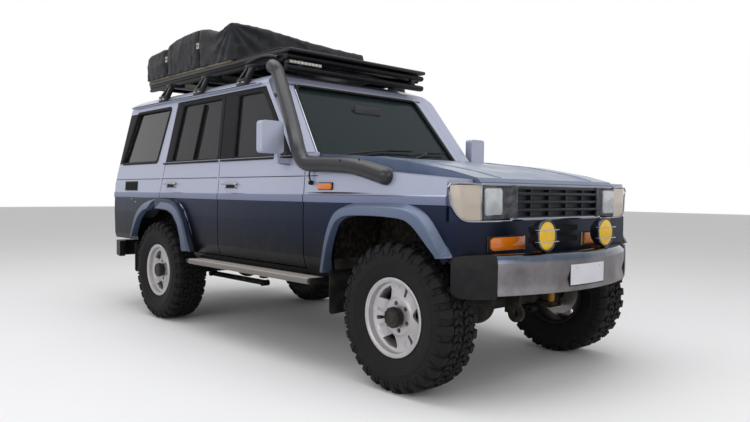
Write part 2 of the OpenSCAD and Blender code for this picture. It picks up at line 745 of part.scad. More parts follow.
module front_lamps() {
    both_sides() body_up() {
        color("lightyellow") block([fa + 350 + seat, 440, 906], [lamp_face, 636, 1073]);
        color("wheat") intersection() {
            xy(corner_plan, 900, 1073);
            yz([[600, 900], [corner_foot, 900], [body_half - 8, corner_rise], [body_half, 1073], [600, 1073]],
                fa, nose);
        }
        color("orange") block([nose - 44 + seat, 282, 744], [nose - 20, 584, 818]);
    }
}

// Panel under the lamps, between the front wings
module valance() {
    color("lightsteelblue") body_up() difference() {
        union() {
            both_sides() intersection() {
                xy(corner_plan, 890, 1073);
                yz([[corner_foot + 3, 890], [body_half, 890], [body_half, corner_rise + 4], [body_half - 8, corner_rise - 3]],
                    fa, nose);
            }
            xy([[nose - 26, 0], [nose - 26, 420], [lamp_face, 640], [wing_front + 34, 800],
                [wing_front + seat, body_half - 2], [wing_front + seat, 640], [fa + 350 + seat, 560],
                [fa + 350 + seat, -560], [wing_front + seat, -640], [wing_front + seat, -body_half + 2],
                [wing_front + 34, -800], [lamp_face, -640], [nose - 26, -420]], 706, 898);
        }
        both_sides() block([nose - 44, 280, 742], [nose, 586, 820]);
        for (z = [770, 830]) block([nose - 44, -240, z], [nose, 240, z + 32]);
    }
}

module driving_lamps() {
    both_sides() body_up() translate([fa + 522, 292, 0]) {
        color("black") translate([0, 0, 822]) rotate([0, 90, 0]) cylinder(h = 90, d = 168, center = true);
        color("saddlebrown") block([-25, -20, 736 + seat], [5, 20, 760]);
    }
}

// Front face of the bumper across the vehicle
function bumper_x(y) = fa + front_overhang - 330 * pow(y / 1000, 2);
function bumper_plan(y0, y1, t) = concat([for (i = [0:12]) let (y = y0 + (y1 - y0) * i / 12) [bumper_x(y), y]],
    [for (i = [12:-1:0]) let (y = y0 + (y1 - y0) * i / 12) [bumper_x(y) - t, y]]);

// Thickness of the bumper's face below its box
bumper_t = 12;

module front_bumper() {
    color("silver") body_up() {
        difference() {
            xy(bumper_plan(-620, 620, 86), 535, 736);
            translate([-bumper_t, 0, 0]) xy(bumper_plan(-600, 600, 86), 520, 600);
        }
        both_sides() block([fa + 400 + seat, rail_half - rail_w, 560], [fa + 500, rail_half, 660]);
    }
}

module bumper_ends() {
    color("black") body_up() both_sides() {
        xy(concat([for (i = [0:5]) let (y = 620 + seat + i * 32) [bumper_x(y), y]],
            [[fa + 385, body_half - 6], [fa + 419, body_half - 90], [bumper_x(620) - 76, 620 + seat]]),
            520, 736);
    }
}

module rear_bumper() {
    color("black") body_up() {
        difference() {
            xy([[tail - 90, -700], [tail - 90, 700], [tail - 60, body_half - 40], [tail + 130, body_half + 6],
                [tail + 130, body_half - 40], [tail + 20, body_half - 90], [tail + 20, -body_half + 90],
                [tail + 130, -body_half + 40], [tail + 130, -body_half - 6], [tail - 60, -body_half + 40]], 445, 580);
        }
        both_sides() block([tail + 10, rail_half - 60, 520], [tail + 40 - seat, rail_half - 10, 580]);
    }
}

module tail_lamps() {
    color("firebrick") body_up() both_sides()
        block([tail - 12, back_half + 12, 800], [tail - seat, body_half - 14, 1080]);
}

module flares() {
    color("slategray") body_up() both_sides() {
        flare_ring(front_arch_in, front_arch_out, -seat);
        difference() {
            flare_ring(rear_arch_in, rear_arch_out, -seat);
            block([door_c - shut / 2, 0, 300], [ra + 900, 1300, 1200]);
        }
    }
}

module mudflaps() {
    color("black") body_up() both_sides() {
        block([fa - 517.5 * arch_k, 600, 330], [fa - 510 * arch_k, body_half, 562]);
        block([ra - 462, 600, 330], [ra - 454, body_half - 20, z_sill + 50 - seat]);
    }
}

module side_steps() {
    color("silver") body_up() both_sides() {
        block([ra + 620, body_half - 78, 500], [fa - 600, body_half + 70, 536]);
        for (x = [ra + 760, mid_x, fa - 760]) block([x - 20, rail_half + seat, 512],
            [x + 20, body_half - 78 + 10, 530]);
    }
}

// ---- inside ----

// A seat: cushion, back and head rest
module seat_at(x, y, w) {
    z0 = rail_top + 26 + seat;
    block([x - 240, y - w / 2, z0], [x + 260, y + w / 2, z0 + 150]);
    block([x - 240, y - w / 2, z0 + 150], [x + 280, y + w / 2, z0 + 260]);
    xz([[x - 240, z0 + 260], [x - 140, z0 + 260], [x - 260, z0 + 800], [x - 330, z0 + 800]], y - w / 2, y + w / 2);
    block([x - 330, y - 110, z0 + 820], [x - 260, y + 110, z0 + 960]);
    block([x - 305, y - 70, z0 + 790], [x - 285, y + 70, z0 + 830]);
}

module seats() {
    color("darkgray") body_up() {
        both_sides() seat_at(door_b + 330, 360, 500);
        seat_at(door_b - 540, 0, 1060);
    }
}

module dashboard() {
    w = cabin_half - 18;
    color("dimgray") body_up() {
        difference() {
            xz([[fa - 625, rail_top + 330], [fa - 860, rail_top + 330], [fa - 960, rail_top + 420],
                [fa - 960, z_belt - 30], [fa - 880, z_belt - 6], [screen_foot - 12, z_belt - 6],
                [screen_foot - 12, z_belt - 104], [fa - 625, z_belt - 104]], -w, w);
        }
        block([fa - 960, -120, rail_top + 26 + seat], [fa - 700, 120, rail_top + 330]);
        at_wheel() translate([0, 0, -190]) cylinder(h = 170 - seat, d = 60);
    }
}

// The steering wheel's place and tilt
module at_wheel() { translate([fa - 1062, -360, z_belt - 72]) rotate([0, -62, 0]) children(); }

module steering_wheel() {
    color("black") body_up() at_wheel() {
        rotate_extrude() translate([175, 0]) circle(d = 30);
        cylinder(h = 40, d = 110, center = true);
        for (a = [90, 210, 330]) rotate([0, 0, a]) block([40, -16, -8], [172, 16, 8]);
    }
}

// ---- on the outside ----

// Snorkel: along the top of the right wing, then up beside the windscreen pillar
function pillar_pt(z) = [screen_x(z) + 108, body_half - 4 - (z - 1400) * 0.23, z];
snorkel_path = [[fa - 55, body_half + 2, 1118], [fa - 155, body_half + 10, 1145], [fa - 305, body_half + 18, 1176],
    [fa - 505, body_half + 24, 1190], [fa - 685, body_half + 40, 1197], [fa - 755, body_half + 42, 1270],
    pillar_pt(1400), pillar_pt(1780), pillar_pt(1780) + [-25, 2, 55], pillar_pt(1780) + [-85, 6, 72]];

module snorkel() {
    color("dimgray") body_up() on_side(-1) difference() {
        for (i = [0:len(snorkel_path) - 2]) {
            rod(snorkel_path[i], snorkel_path[i + 1], snorkel_d);
            translate(snorkel_path[i]) sphere(d = snorkel_d + 3);
        }
        // Room for the wing that it lies on
        intersection() {
            side_fill(-seat, fa - 900, fa + 100);
            xz([[fa - 900, 900], [fa - 900, wing_top(fa - 900) + seat], [fa + 100, wing_top(fa + 100) + seat],
                [fa + 100, 900]]);
        }
    }
}

rack_z = 1905;
rack_x0 = ra - 595;
rack_x1 = fa - 1215;
foot_x = [ra - 35, ra + 555, ra + 1175];
// Height of the bar that hangs under the rack's front edge
front_bar_z = 1838;

module roof_rack() {
    color("black") body_up() {
        both_sides() {
            block([rack_x0, rack_half - 32, rack_z], [rack_x1 - 60, rack_half, rack_z + 55]);
            for (x = foot_x) yz([[roof_half + 20, z_gutter + 8 + 2 * seat], [roof_half + 4, z_gutter + 8 + 2 * seat],
                [roof_half - 82, 1850], [rack_half - 32, 1888], [rack_half - 32, rack_z + 5],
                [rack_half + 6, rack_z + 5], [max(rack_half + 44, roof_half - 88), 1880], [roof_half + 4, 1800]],
                x - 60, x + 60);
            block([rack_x1 - 38, rack_half - 130, front_bar_z + 40], [rack_x1 - 8, rack_half - 90, rack_z + 20]);
        }
        for (x = concat(foot_x, [rack_x1 - 100, rack_x0 + 20]))
            block([x - 20, -rack_half + 30, rack_z + 20], [x + 20, rack_half - 30, rack_z + 50]);
        block([rack_x1 - 60, -rack_half, rack_z + 10], [rack_x1, rack_half, rack_z + 50]);
        block([rack_x1 - 45, -rack_half, front_bar_z], [rack_x1, rack_half, front_bar_z + 42]);
    }
}

base_z = rack_z + 55;

module tent_base() {
    color("black") body_up() {
        block([rack_x0 - 20, -rack_half, base_z + seat], [rack_x1 + 20, rack_half, base_z + 28]);
        block([rack_x0 + tent_len + 30, -rack_half + 20, base_z + 20], [rack_x1 - 120, rack_half - 260, base_z + 52]);
    }
}

module roof_tent() {
    z0 = base_z + 28 + seat;
    color("black") body_up() xz([[rack_x0 - 15, z0], [rack_x0 - 25, z0 + 60], [rack_x0 - 10, z0 + tent_h - 50],
        [rack_x0 + 60, z0 + tent_h - 30], [rack_x0 + tent_len - 30, z0 + tent_h], [rack_x0 + tent_len, z0 + tent_h - 10],
        [rack_x0 + tent_len + 10, z0]], -rack_half + 2, rack_half - 2);
}

chassis_frame();
powertrain();
exhaust();
fuel_tank();
front_axle();
rear_axle();
suspension();
knuckle(-1);  // right_knuckle
knuckle(1);  // left_knuckle
color("silver") wheel_at(fa, -1) { rim(); hub(); }  // front_right_rim
color("silver") wheel_at(fa, 1) { rim(); hub(); }  // front_left_rim
color("silver") wheel_at(ra, -1) { rim(); hub(); }  // rear_right_rim
color("silver") wheel_at(ra, 1) { rim(); hub(); }  // rear_left_rim
color("black") wheel_at(fa, -1) tyre();  // front_right_tyre
color("black") wheel_at(fa, 1) tyre();  // front_left_tyre
color("black") wheel_at(ra, -1) tyre();  // rear_right_tyre
color("black") wheel_at(ra, 1) tyre();  // rear_left_tyre
floor_pan();
bulkhead();
body_sides();
roof_panel();
inner_wings();
front_wings();
bonnet();
fixed_glass();
front_door(-1);  // front_right_door
front_door(1);  // front_left_door
door_glass(-1, front_window_xz(seat));  // front_right_glass
door_glass(1, front_window_xz(seat));  // front_left_glass
rear_door(-1);  // rear_right_door
rear_door(1);  // rear_left_door
door_glass(-1, rear_window_xz(seat));  // rear_right_glass
door_glass(1, rear_window_xz(seat));  // rear_left_glass
back_door(-1);  // back_door_wide
back_door(1);  // back_door_narrow
back_glass(-1);  // back_glass_wide
back_glass(1);  // back_glass_narrow
spare_wheel();
valance();
grille();
front_lamps();
driving_lamps();
tail_lamps();
front_bumper();
bumper_ends();
rear_bumper();
flares();
mudflaps();
side_steps();
seats();
dashboard();
steering_wheel();
snorkel();
roof_rack();
tent_base();
roof_tent();
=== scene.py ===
# %% [markdown]
# # A lifted off-road station wagon
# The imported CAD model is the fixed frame: it already has the right sizes and joints.
# This script gives each of its pieces a finish, and puts finer pieces over the plain ones.

# %% Load the frame
import math
import bmesh
import bpy
from mathutils import Matrix, Vector, noise


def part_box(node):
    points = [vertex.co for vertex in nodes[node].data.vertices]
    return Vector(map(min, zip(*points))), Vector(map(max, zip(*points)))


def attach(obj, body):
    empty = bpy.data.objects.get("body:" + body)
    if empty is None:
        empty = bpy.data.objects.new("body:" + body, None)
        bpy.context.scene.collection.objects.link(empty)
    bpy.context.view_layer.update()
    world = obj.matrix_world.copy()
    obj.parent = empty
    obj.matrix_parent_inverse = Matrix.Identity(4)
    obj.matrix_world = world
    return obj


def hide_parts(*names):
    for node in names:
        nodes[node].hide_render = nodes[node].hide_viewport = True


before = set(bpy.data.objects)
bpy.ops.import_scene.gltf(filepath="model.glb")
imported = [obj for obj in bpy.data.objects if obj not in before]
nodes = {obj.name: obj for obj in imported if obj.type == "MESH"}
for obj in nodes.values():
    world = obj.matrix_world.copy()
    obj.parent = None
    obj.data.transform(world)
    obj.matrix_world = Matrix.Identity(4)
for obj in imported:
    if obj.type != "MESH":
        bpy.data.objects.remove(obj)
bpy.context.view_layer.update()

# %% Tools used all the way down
scene = bpy.context.scene

# %% [markdown]
# ## Camera
# A camera stands in a three-quarter position at chest height, and is rolled by half a degree.
# Its place is written as numbers, so the same view comes back on each run.

# %% Camera
def aim(yaw, down, roll):
    """A rotation whose -Z looks along yaw, tilted down, and rolled, in degrees."""
    a, p, r = (math.radians(v) for v in (yaw, down, roll))
    ahead = Vector((math.cos(a) * math.cos(p), math.sin(a) * math.cos(p), -math.sin(p)))
    level = Vector((math.sin(a), -math.cos(a), 0))
    up = level.cross(ahead)
    right = level * math.cos(r) + up * math.sin(r)
    up = up * math.cos(r) - level * math.sin(r)
    return Matrix((right, up, -ahead)).transposed().to_4x4()

cam = bpy.data.objects.new("camera", bpy.data.cameras.new("camera"))
scene.collection.objects.link(cam)
cam.data.sensor_width, cam.data.lens, cam.data.clip_end = 36, 32.575, 200
cam.matrix_world = Matrix.Translation((4.1516, -3.2604, 1.0276)) @ aim(137.479, 1.483, 0.617)
scene.camera = cam
print("camera at", [round(v, 2) for v in cam.location])

# %% [markdown]
# ## Light
# Car paint, chrome and glass show what stands round them, so the light is a big soft sky:
# a pale world, one wide lamp overhead and one long lamp on the camera's side.

# %% Stage and lights
def linked(o):
    """Puts a new object in the scene."""
    scene.collection.objects.link(o)
    return o

def lamp(name, place, target, size, power):
    data = bpy.data.lights.new(name, "AREA")
    data.shape, data.size, data.size_y = "RECTANGLE", size[0], size[1]
    data.energy = power
    o = linked(bpy.data.objects.new(name, data))
    o.location = place
    o.rotation_euler = (Vector(target) - Vector(place)).to_track_quat("-Z", "Y").to_euler()

lamp("overhead", (0.5, -1.0, 6.5), (0, 0, 1), (8, 5), 250)
lamp("camera_side", (2.5, -7.0, 3.6), (0.2, 0, 0.9), (7, 3), 120)
lamp("front_fill", (8.0, -0.5, 2.6), (1.5, 0, 0.8), (4, 3), 60)
floor_mesh = bpy.data.meshes.new("floor")
FAR = 40
floor_mesh.from_pydata([(-FAR, -FAR, 0), (FAR, -FAR, 0), (FAR, FAR, 0), (-FAR, FAR, 0)], [], [(0, 1, 2, 3)])
floor = linked(bpy.data.objects.new("floor", floor_mesh))
scene.view_settings.view_transform = "Standard"

# %% [markdown]
# ## Shader sums
# A finish is a small program of nodes. `Sock` wraps one output, so that sums on it read
# as Python, and `Finish.node` adds any other node.

# %% Socket wrapper
class Sock:
    """One output of a shader node that takes part in sums."""
    def __init__(self, finish, out):
        self.finish, self.out = finish, out

    def sum(self, operation, a, b):
        return self.finish.node("ShaderNodeMath", {"operation": operation}, {0: a, 1: b})

    def __add__(self, o): return self.sum("ADD", self, o)
    def __radd__(self, o): return self.sum("ADD", o, self)
    def __sub__(self, o): return self.sum("SUBTRACT", self, o)
    def __rsub__(self, o): return self.sum("SUBTRACT", o, self)
    def __mul__(self, o): return self.sum("MULTIPLY", self, o)
    def __rmul__(self, o): return self.sum("MULTIPLY", o, self)
    def __gt__(self, o): return self.sum("GREATER_THAN", self, o)
    def __lt__(self, o): return self.sum("LESS_THAN", self, o)
    def __abs__(self): return self.sum("ABSOLUTE", self, 0)


class Finish:
    """A material whose nodes are added one by one."""
    def __init__(self, name):
        self.material = bpy.data.materials.new(name)
        self.material.use_nodes = True
        self.tree = self.material.node_tree
        self.bsdf = self.tree.nodes["Principled BSDF"]

    def put(self, sockets, values):
        for key, value in values.items():
            if isinstance(value, Sock):
                self.tree.links.new(value.out, sockets[key])
            elif isinstance(value, tuple) and len(value) == 3 and len(sockets[key].default_value) == 4:
                sockets[key].default_value = (*value, 1)
            else:
                sockets[key].default_value = value

    def node(self, kind, settings=None, inputs=None, out=0):
        n = self.tree.nodes.new(kind)
        for key, value in (settings or {}).items():
            setattr(n, key, value)
        self.put(n.inputs, inputs or {})
        return Sock(self, n.outputs[out])

    def xyz(self):
        """The place on the piece, in metres in the row frame."""
        here = self.node("ShaderNodeTexCoord", out=3)
        return [here] + [self.node("ShaderNodeSeparateXYZ", {}, {0: here}, i) for i in range(3)]

    def noise(self, scale, detail=4, where=None, rough=0.55):
        where = where or self.node("ShaderNodeTexCoord", out=3)
        return self.node("ShaderNodeTexNoise", {},
            {"Vector": where, "Scale": scale, "Detail": detail, "Roughness": rough})

    def wave(self, where, axis, scale):
        """Bands across an axis, 0 to 1."""
        return self.node("ShaderNodeTexWave", {"wave_type": "BANDS", "bands_direction": axis},
            {"Vector": where, "Scale": scale}, 1)

    def rise(self, value, low, high):
        """0 below low, 1 above high."""
        return self.node("ShaderNodeMapRange", {}, {0: value, 1: low, 2: high, 3: 0.0, 4: 1.0})

    def mix(self, mask, a, b):
        return self.node("ShaderNodeMix", {"data_type": "RGBA"}, {0: mask, 6: a, 7: b}, 2)

    def bump(self, height, distance):
        return self.node("ShaderNodeBump", {}, {"Height": height, "Distance": distance})

    def set(self, **values):
        names = {"colour": "Base Color", "rough": "Roughness", "metal": "Metallic", "coat": "Coat Weight",
                 "coat_rough": "Coat Roughness", "normal": "Normal", "glow": "Emission Color",
                 "glow_power": "Emission Strength", "sheen": "Sheen Weight", "sheen_rough": "Sheen Roughness",
                 "through": "Transmission Weight", "gloss": "Specular IOR Level"}
        self.put(self.bsdf.inputs, {names[k]: v for k, v in values.items()})
        return self.material

def rgb(r, g, b):
    """A colour written as 0-255 screen values, as the linear light a shader needs."""
    return tuple(((v / 255 + 0.055) / 1.055) ** 2.4 if v > 10 else v / 255 / 12.92 for v in (r, g, b))

# %% Floor and world
pale = Finish("pale_floor")
pale.set(colour=pale.mix(pale.noise(0.6), rgb(236, 236, 238), rgb(242, 242, 243)), rough=0.75)
floor_mesh.materials.append(pale.material)
world = bpy.data.worlds.new("studio")
scene.world = world
world.use_nodes = True
sky = world.node_tree
ray = sky.nodes.new("ShaderNodeLightPath")
either = None
for name in ("Is Camera Ray", "Is Glossy Ray", "Is Transmission Ray"):
    if either is None:
        either = ray.outputs[name]
        continue
    top = sky.nodes.new("ShaderNodeMath")
    top.operation = "MAXIMUM"
    sky.links.new(either, top.inputs[0])
    sky.links.new(ray.outputs[name], top.inputs[1])
    either = top.outputs[0]
level = sky.nodes.new("ShaderNodeMapRange")
level.inputs[3].default_value, level.inputs[4].default_value = 0.52, 1.0
sky.links.new(either, level.inputs[0])
sky.links.new(level.outputs[0], sky.nodes["Background"].inputs[1])
sky.nodes["Background"].inputs[0].default_value = (1, 1, 1, 1)
print("floor and world ready")

# %% [markdown]
# ## Paint
# The body is two-tone metallic paint under clear coat: silver above, navy below, with a
# grey-blue band between. One finish does it all by height, so the band lines up over
# doors, wings and back doors. The navy is painted darker towards the bottom as painted
# shade. Dust gathers low down, and fine grain is flake in the paint.

# %% Body paint
SILVER, BAND, NAVY = rgb(164, 169, 190), rgb(112, 120, 148), rgb(8, 11, 22)
SATIN_BLACK = rgb(22, 23, 27)

def two_tone(name, frames=False):
    f = Finish(name)
    here, x, y, z = f.xyz()
    # The navy is painted darker towards the bottom: painted shade on one even paint
    navy_with_painted_shade = f.mix(f.rise(z, 0.66, 0.98), NAVY, rgb(36, 44, 66))
    colour = f.mix(f.rise(z, 0.9715, 0.9735), navy_with_painted_shade, BAND)
    colour = f.mix(f.rise(z, 1.0175, 1.0195), colour, SILVER)
    colour = f.mix(f.rise(z, 0.648, 0.655), SATIN_BLACK, colour)
    flake = f.noise(1500, 2, here)
    high = f.rise(z, 0.96, 1.02)
    colour = f.mix(flake * (0.004 + 0.046 * high), colour, (0.9, 0.9, 1.0))
    if frames:
        colour = f.mix((z < 0.99) * f.rise(abs(y), 0.859, 0.861), colour, rgb(60, 68, 88))
        frame_zone = f.rise(z, 1.2555, 1.2565) * (abs(y) < 0.846)
        colour = f.mix(frame_zone, colour, SATIN_BLACK)
    dirt = f.rise(f.noise(7, 6, here) - 0.8 * z, -0.12, 0.4) * 0.2
    colour = f.mix(dirt * f.noise(60, 4, here), colour, rgb(120, 108, 92))
    rough = 0.3 + 0.1 * f.noise(3, 3, here) + 0.35 * dirt
    if frames:
        rough = rough + 0.25 * frame_zone
    coat = 0.05 + 0.38 * high - 0.05 * dirt
    if frames:
        coat, high = coat - 0.42 * frame_zone, high + 0.7 * frame_zone
    f.set(colour=colour, rough=rough, metal=0.85 - 0.5 * high, coat=coat, coat_rough=0.07, gloss=0.15,
          normal=f.bump(f.noise(9, 3, here), 0.0012))
    return f.material

M = {"body": two_tone("silver_over_navy"), "door": two_tone("door_two_tone", True)}
bonnet = Finish("faded_bonnet")
here, x, y, z = bonnet.xyz()
fade = bonnet.rise(bonnet.noise(2.2, 5, here), 0.45, 0.7)
base = bonnet.mix(fade * 0.5, rgb(94, 108, 134), rgb(126, 138, 160))
base = bonnet.mix(bonnet.rise(bonnet.noise(140, 6, here), 0.62, 0.7) * 0.35 * fade, base, rgb(205, 208, 214))
M["bonnet"] = bonnet.set(colour=base, rough=0.28 + 0.22 * fade, metal=0.35, coat=0.3 - 0.2 * fade,
    coat_rough=0.08, gloss=0.2, normal=bonnet.bump(bonnet.noise(7, 3, here), 0.0012))
flare = Finish("flare_blue")
here, x, y, z = flare.xyz()
worn = flare.rise(flare.noise(26, 6, here), 0.6, 0.72)
# Darker towards the bottom of the flare: painted shade on the one plastic
base = flare.mix(flare.rise(z, 0.62, 1.0), rgb(64, 75, 97), rgb(104, 116, 141))
base = flare.mix(worn * 0.16, base, rgb(170, 172, 178))
M["flare"] = flare.set(colour=base, rough=0.33 + 0.2 * worn, metal=0.3, coat=0.3, coat_rough=0.12, gloss=0.2,
                       normal=flare.bump(flare.noise(8, 4, here), 0.0015))
print("paint:", list(M))

# %% [markdown]
# ## Plain finishes
# Moulded plastic, rubber, cast metal and cloth differ in three things: how rough they are,
# how metallic, and how fine their grain is. One maker covers them, with its own numbers.

# %% A maker for moulded, cast and woven finishes
def grained(name, colour, other, rough, metal=0.0, grain=250, depth=0.0004, blotch=6, dust=0.0, gloss=0.22,
        **more):
    f = Finish(name)
    here = f.xyz()[0]
    spots = f.noise(blotch, 6, here)
    fine = f.noise(grain, 4, here)
    shade = f.mix(f.rise(spots, 0.3, 0.7), colour, other)
    if dust:
        film = f.rise(f.noise(blotch * 2.3, 7, here), 0.45, 0.75) * dust
        shade = f.mix(film, shade, rgb(128, 116, 98))
    return f.set(colour=shade, rough=rough - 0.08 + 0.16 * spots, metal=metal,
                 normal=f.bump(fine, depth), gloss=gloss, **more)

# Each row: material name, first colour, second colour, roughness, other settings
GRAINED = {
    "black_plastic": ("black_plastic", (14, 14, 17), (24, 24, 28), 0.5,
        dict(grain=500, depth=0.0005, dust=0.05, gloss=0.18)),
    "satin_black": ("satin_black_paint", (16, 17, 20), (24, 25, 29), 0.38, dict(coat=0.12, coat_rough=0.3)),
    "gasket": ("black_gasket", (16, 16, 18), (26, 26, 28), 0.62, dict(grain=600)),
    "snorkel": ("snorkel_plastic", (17, 18, 25), (25, 26, 34), 0.34,
        dict(grain=700, depth=0.00015, dust=0.02, gloss=0.42, coat=0.12, coat_rough=0.3)),
    "chassis": ("chassis_black", (20, 20, 21), (34, 30, 27), 0.7,
        dict(grain=90, depth=0.002, dust=0.28, gloss=0.15)),
    "driveline": ("driveline_cast", (34, 33, 33), (50, 45, 40), 0.62,
        dict(metal=0.3, grain=120, depth=0.002, dust=0.28, gloss=0.15)),
    "yellow": ("yellow_damper", (206, 150, 26), (170, 118, 22), 0.42, dict(grain=60, dust=0.3)),
    "exhaust": ("exhaust_steel", (120, 112, 104), (96, 66, 46), 0.5,
        dict(metal=0.8, grain=90, depth=0.001, dust=0.25)),
    "spare_alloy": ("spare_alloy", (168, 165, 167), (190, 188, 190), 0.4,
        dict(metal=0.5, grain=260, depth=0.0004, dust=0.12)),
    "hub_black": ("hub_black", (28, 28, 30), (46, 44, 42), 0.5, dict(metal=0.3, grain=200, dust=0.2)),
    "bright_metal": ("bright_aluminium", (190, 188, 186), (160, 156, 152), 0.35,
        dict(metal=0.75, grain=300, dust=0.1)),
    "chrome": ("chrome_trim", (160, 163, 171), (134, 137, 146), 0.13,
        dict(metal=1.0, grain=20, depth=0.0003, blotch=4)),
    "grille": ("grille_grey", (24, 27, 33), (40, 44, 52), 0.42, dict(grain=400, dust=0.05)),
    "lamp_shell": ("weathered_shell", (38, 40, 46), (92, 92, 96), 0.6, dict(grain=120, depth=0.001, blotch=26)),
    # Near black: painted shade in slots and vent openings, and the radio's black face
    "dark_slot": ("dark_slot", (6, 6, 7), (10, 10, 11), 0.8, dict()),
    "flap": ("flap_rubber", (16, 16, 17), (27, 26, 25), 0.75, dict(grain=200, depth=0.001, dust=0.15)),
    "trim": ("cabin_trim", (54, 54, 58), (66, 65, 68), 0.65, dict(grain=500, depth=0.0008)),
    "floor_metal": ("floor_metal", (40, 41, 46), (58, 54, 50), 0.65, dict(grain=60, dust=0.35)),
    "liner": ("wing_liner", (17, 16, 17), (38, 34, 30), 0.72,
        dict(grain=120, depth=0.002, blotch=16, dust=0.3)),
    "rust": ("rusty_bracket", (110, 62, 34), (54, 36, 28), 0.8,
        dict(metal=0.2, grain=150, depth=0.002, blotch=40)),
    "strap": ("strap_webbing", (16, 16, 18), (26, 26, 29), 0.8, dict(grain=900, depth=0.0008)),
    "buckle": ("pale_buckle", (196, 190, 176), (170, 164, 150), 0.5, dict(grain=200)),
    "beige_strip": ("beige_strip", (140, 128, 106), (106, 96, 80), 0.75, dict(grain=200, depth=0.0008)),
    "mattress_block": ("rack_black", (6, 7, 10), (13, 14, 18), 0.45, dict(grain=300, dust=0.02, gloss=0.16)),
    "plate": ("blank_plate", (196, 196, 204), (206, 206, 212), 0.5, dict()),
    "amber": ("amber_lens", (238, 134, 16), (220, 112, 12), 0.25,
        dict(grain=30, coat=0.8, coat_rough=0.1, through=0.15)),
    "red": ("red_lens", (150, 14, 16), (120, 10, 12), 0.2,
        dict(grain=30, coat=0.8, coat_rough=0.1, through=0.15)),
    "led": ("led_bar", (196, 194, 188), (150, 148, 144), 0.3, dict(grain=60, coat=0.5)),
}
for key, (name, colour, other, rough, more) in GRAINED.items():
    M[key] = grained(name, rgb(*colour), rgb(*other), rough, **more)
print(len(M), "finishes")

# %% [markdown]
# ## Rubber, chrome, cloth and step plate
# These need a pattern. Rubber is dusty in its grooves, the bumper is dull on its lower
# face and glossier on its rolled top, which is painted a darker blue-grey as a painted
# reflection. Cloth has a weave, the canvas is painted darker in its crease hollows as
# painted shade, and the step is a ribbed plate painted darker between its ribs as painted shade.

# %% Rubber, worn chrome, canvas, seat cloth, step plate
f = Finish("worn_chrome")
here, x, y, z = f.xyz()
spots, rolled_top_painted_reflection = f.rise(f.noise(5, 6, here), 0.3, 0.7), f.rise(z, 0.688, 0.702)
lower = f.mix(spots, rgb(132, 129, 132), rgb(98, 94, 96))
lower = f.mix(f.rise(f.noise(34, 7, here), 0.55, 0.75) * 0.3, lower, rgb(84, 78, 74))
# The rolled top is coloured a darker blue-grey as a painted reflection, and is also glossier
M["bumper"] = f.set(colour=f.mix(rolled_top_painted_reflection, lower, f.mix(spots, rgb(96, 106, 122), rgb(64, 72, 86))),
    rough=0.3 + 0.12 * spots - 0.18 * rolled_top_painted_reflection, metal=1.0, normal=f.bump(f.noise(14, 5, here), 0.0006))
f = Finish("tyre_rubber")
here, x, y, z = f.xyz()
dust = f.rise(f.noise(24, 7, here), 0.42, 0.75)
M["rubber"] = f.set(colour=f.mix(dust * 0.22, rgb(19, 18, 21), rgb(62, 58, 55)), rough=0.66 + 0.16 * dust,
    gloss=0.18, normal=f.bump(f.noise(320, 4, here), 0.0005))
f = Finish("cast_alloy")
here, x, y, z = f.xyz()
outer_face_else_painted_shade = f.rise(y, -0.01, 0.03)
cast = f.mix(f.rise(f.noise(6, 6, here), 0.3, 0.7), rgb(168, 165, 167), rgb(190, 188, 190))
cast = f.mix(f.rise(f.noise(14, 7, here), 0.5, 0.75) * 0.2, cast, rgb(110, 98, 84))
# Behind the outer face the alloy is painted near black and dull: painted shade inside the barrel
M["alloy"] = f.set(colour=f.mix(outer_face_else_painted_shade, rgb(34, 32, 31), cast), rough=0.62 - 0.24 * outer_face_else_painted_shade,
    metal=0.5 * outer_face_else_painted_shade, gloss=0.22, normal=f.bump(f.noise(260, 4, here), 0.0004))
f = Finish("tent_canvas")
here, x, y, z = f.xyz()
warp = f.wave(here, "X", 260.0)
weft = f.wave(here, "Z", 260.0)
crease_bump_and_painted_shade = f.noise(11, 6, here, 0.62)
# Colour follows the crease bump, darker in its hollows: painted shade
M["canvas"] = f.set(colour=f.mix(f.rise(crease_bump_and_painted_shade, 0.35, 0.75), rgb(15, 16, 21), rgb(34, 36, 44)), rough=0.5,
    gloss=0.28, sheen=0.05, sheen_rough=0.5, normal=f.node("ShaderNodeBump", {},
    {"Height": crease_bump_and_painted_shade, "Distance": 0.006, "Normal": f.bump(warp + weft, 0.0005)}))
f = Finish("seat_cloth")
here, x, y, z = f.xyz()
warp = f.wave(here, "X", 180.0)
fuzz = f.noise(60, 5, here)
M["cloth"] = f.set(colour=f.mix(fuzz, rgb(58, 60, 66), rgb(82, 84, 92)), rough=0.9, sheen=0.25, sheen_rough=0.5,
                   normal=f.bump(warp + fuzz, 0.0012))
f = Finish("step_plate")
here, x, y, z = f.xyz()
cross = f.wave(here, "X", 14.0)
along = f.wave(here, "Y", 12.0)
tread_bump_and_painted_shade = f.rise(cross + along, 0.9, 1.3)
# Darker between the raised ribs and lighter on them: painted shade following the bump
M["step"] = f.set(colour=f.mix(tread_bump_and_painted_shade, rgb(118, 112, 108), rgb(196, 190, 186)),
    rough=0.42 + 0.2 * f.noise(20, 5, here), metal=0.55, normal=f.bump(tread_bump_and_painted_shade, 0.003))
print("patterned finishes ready")

# %% [markdown]
# ## Glass and lenses
# Window glass is thin, so it isn't solved as a solid block: a share of the light passes
# straight through with a tint, and the rest reflects. The share grows at grazing angles.

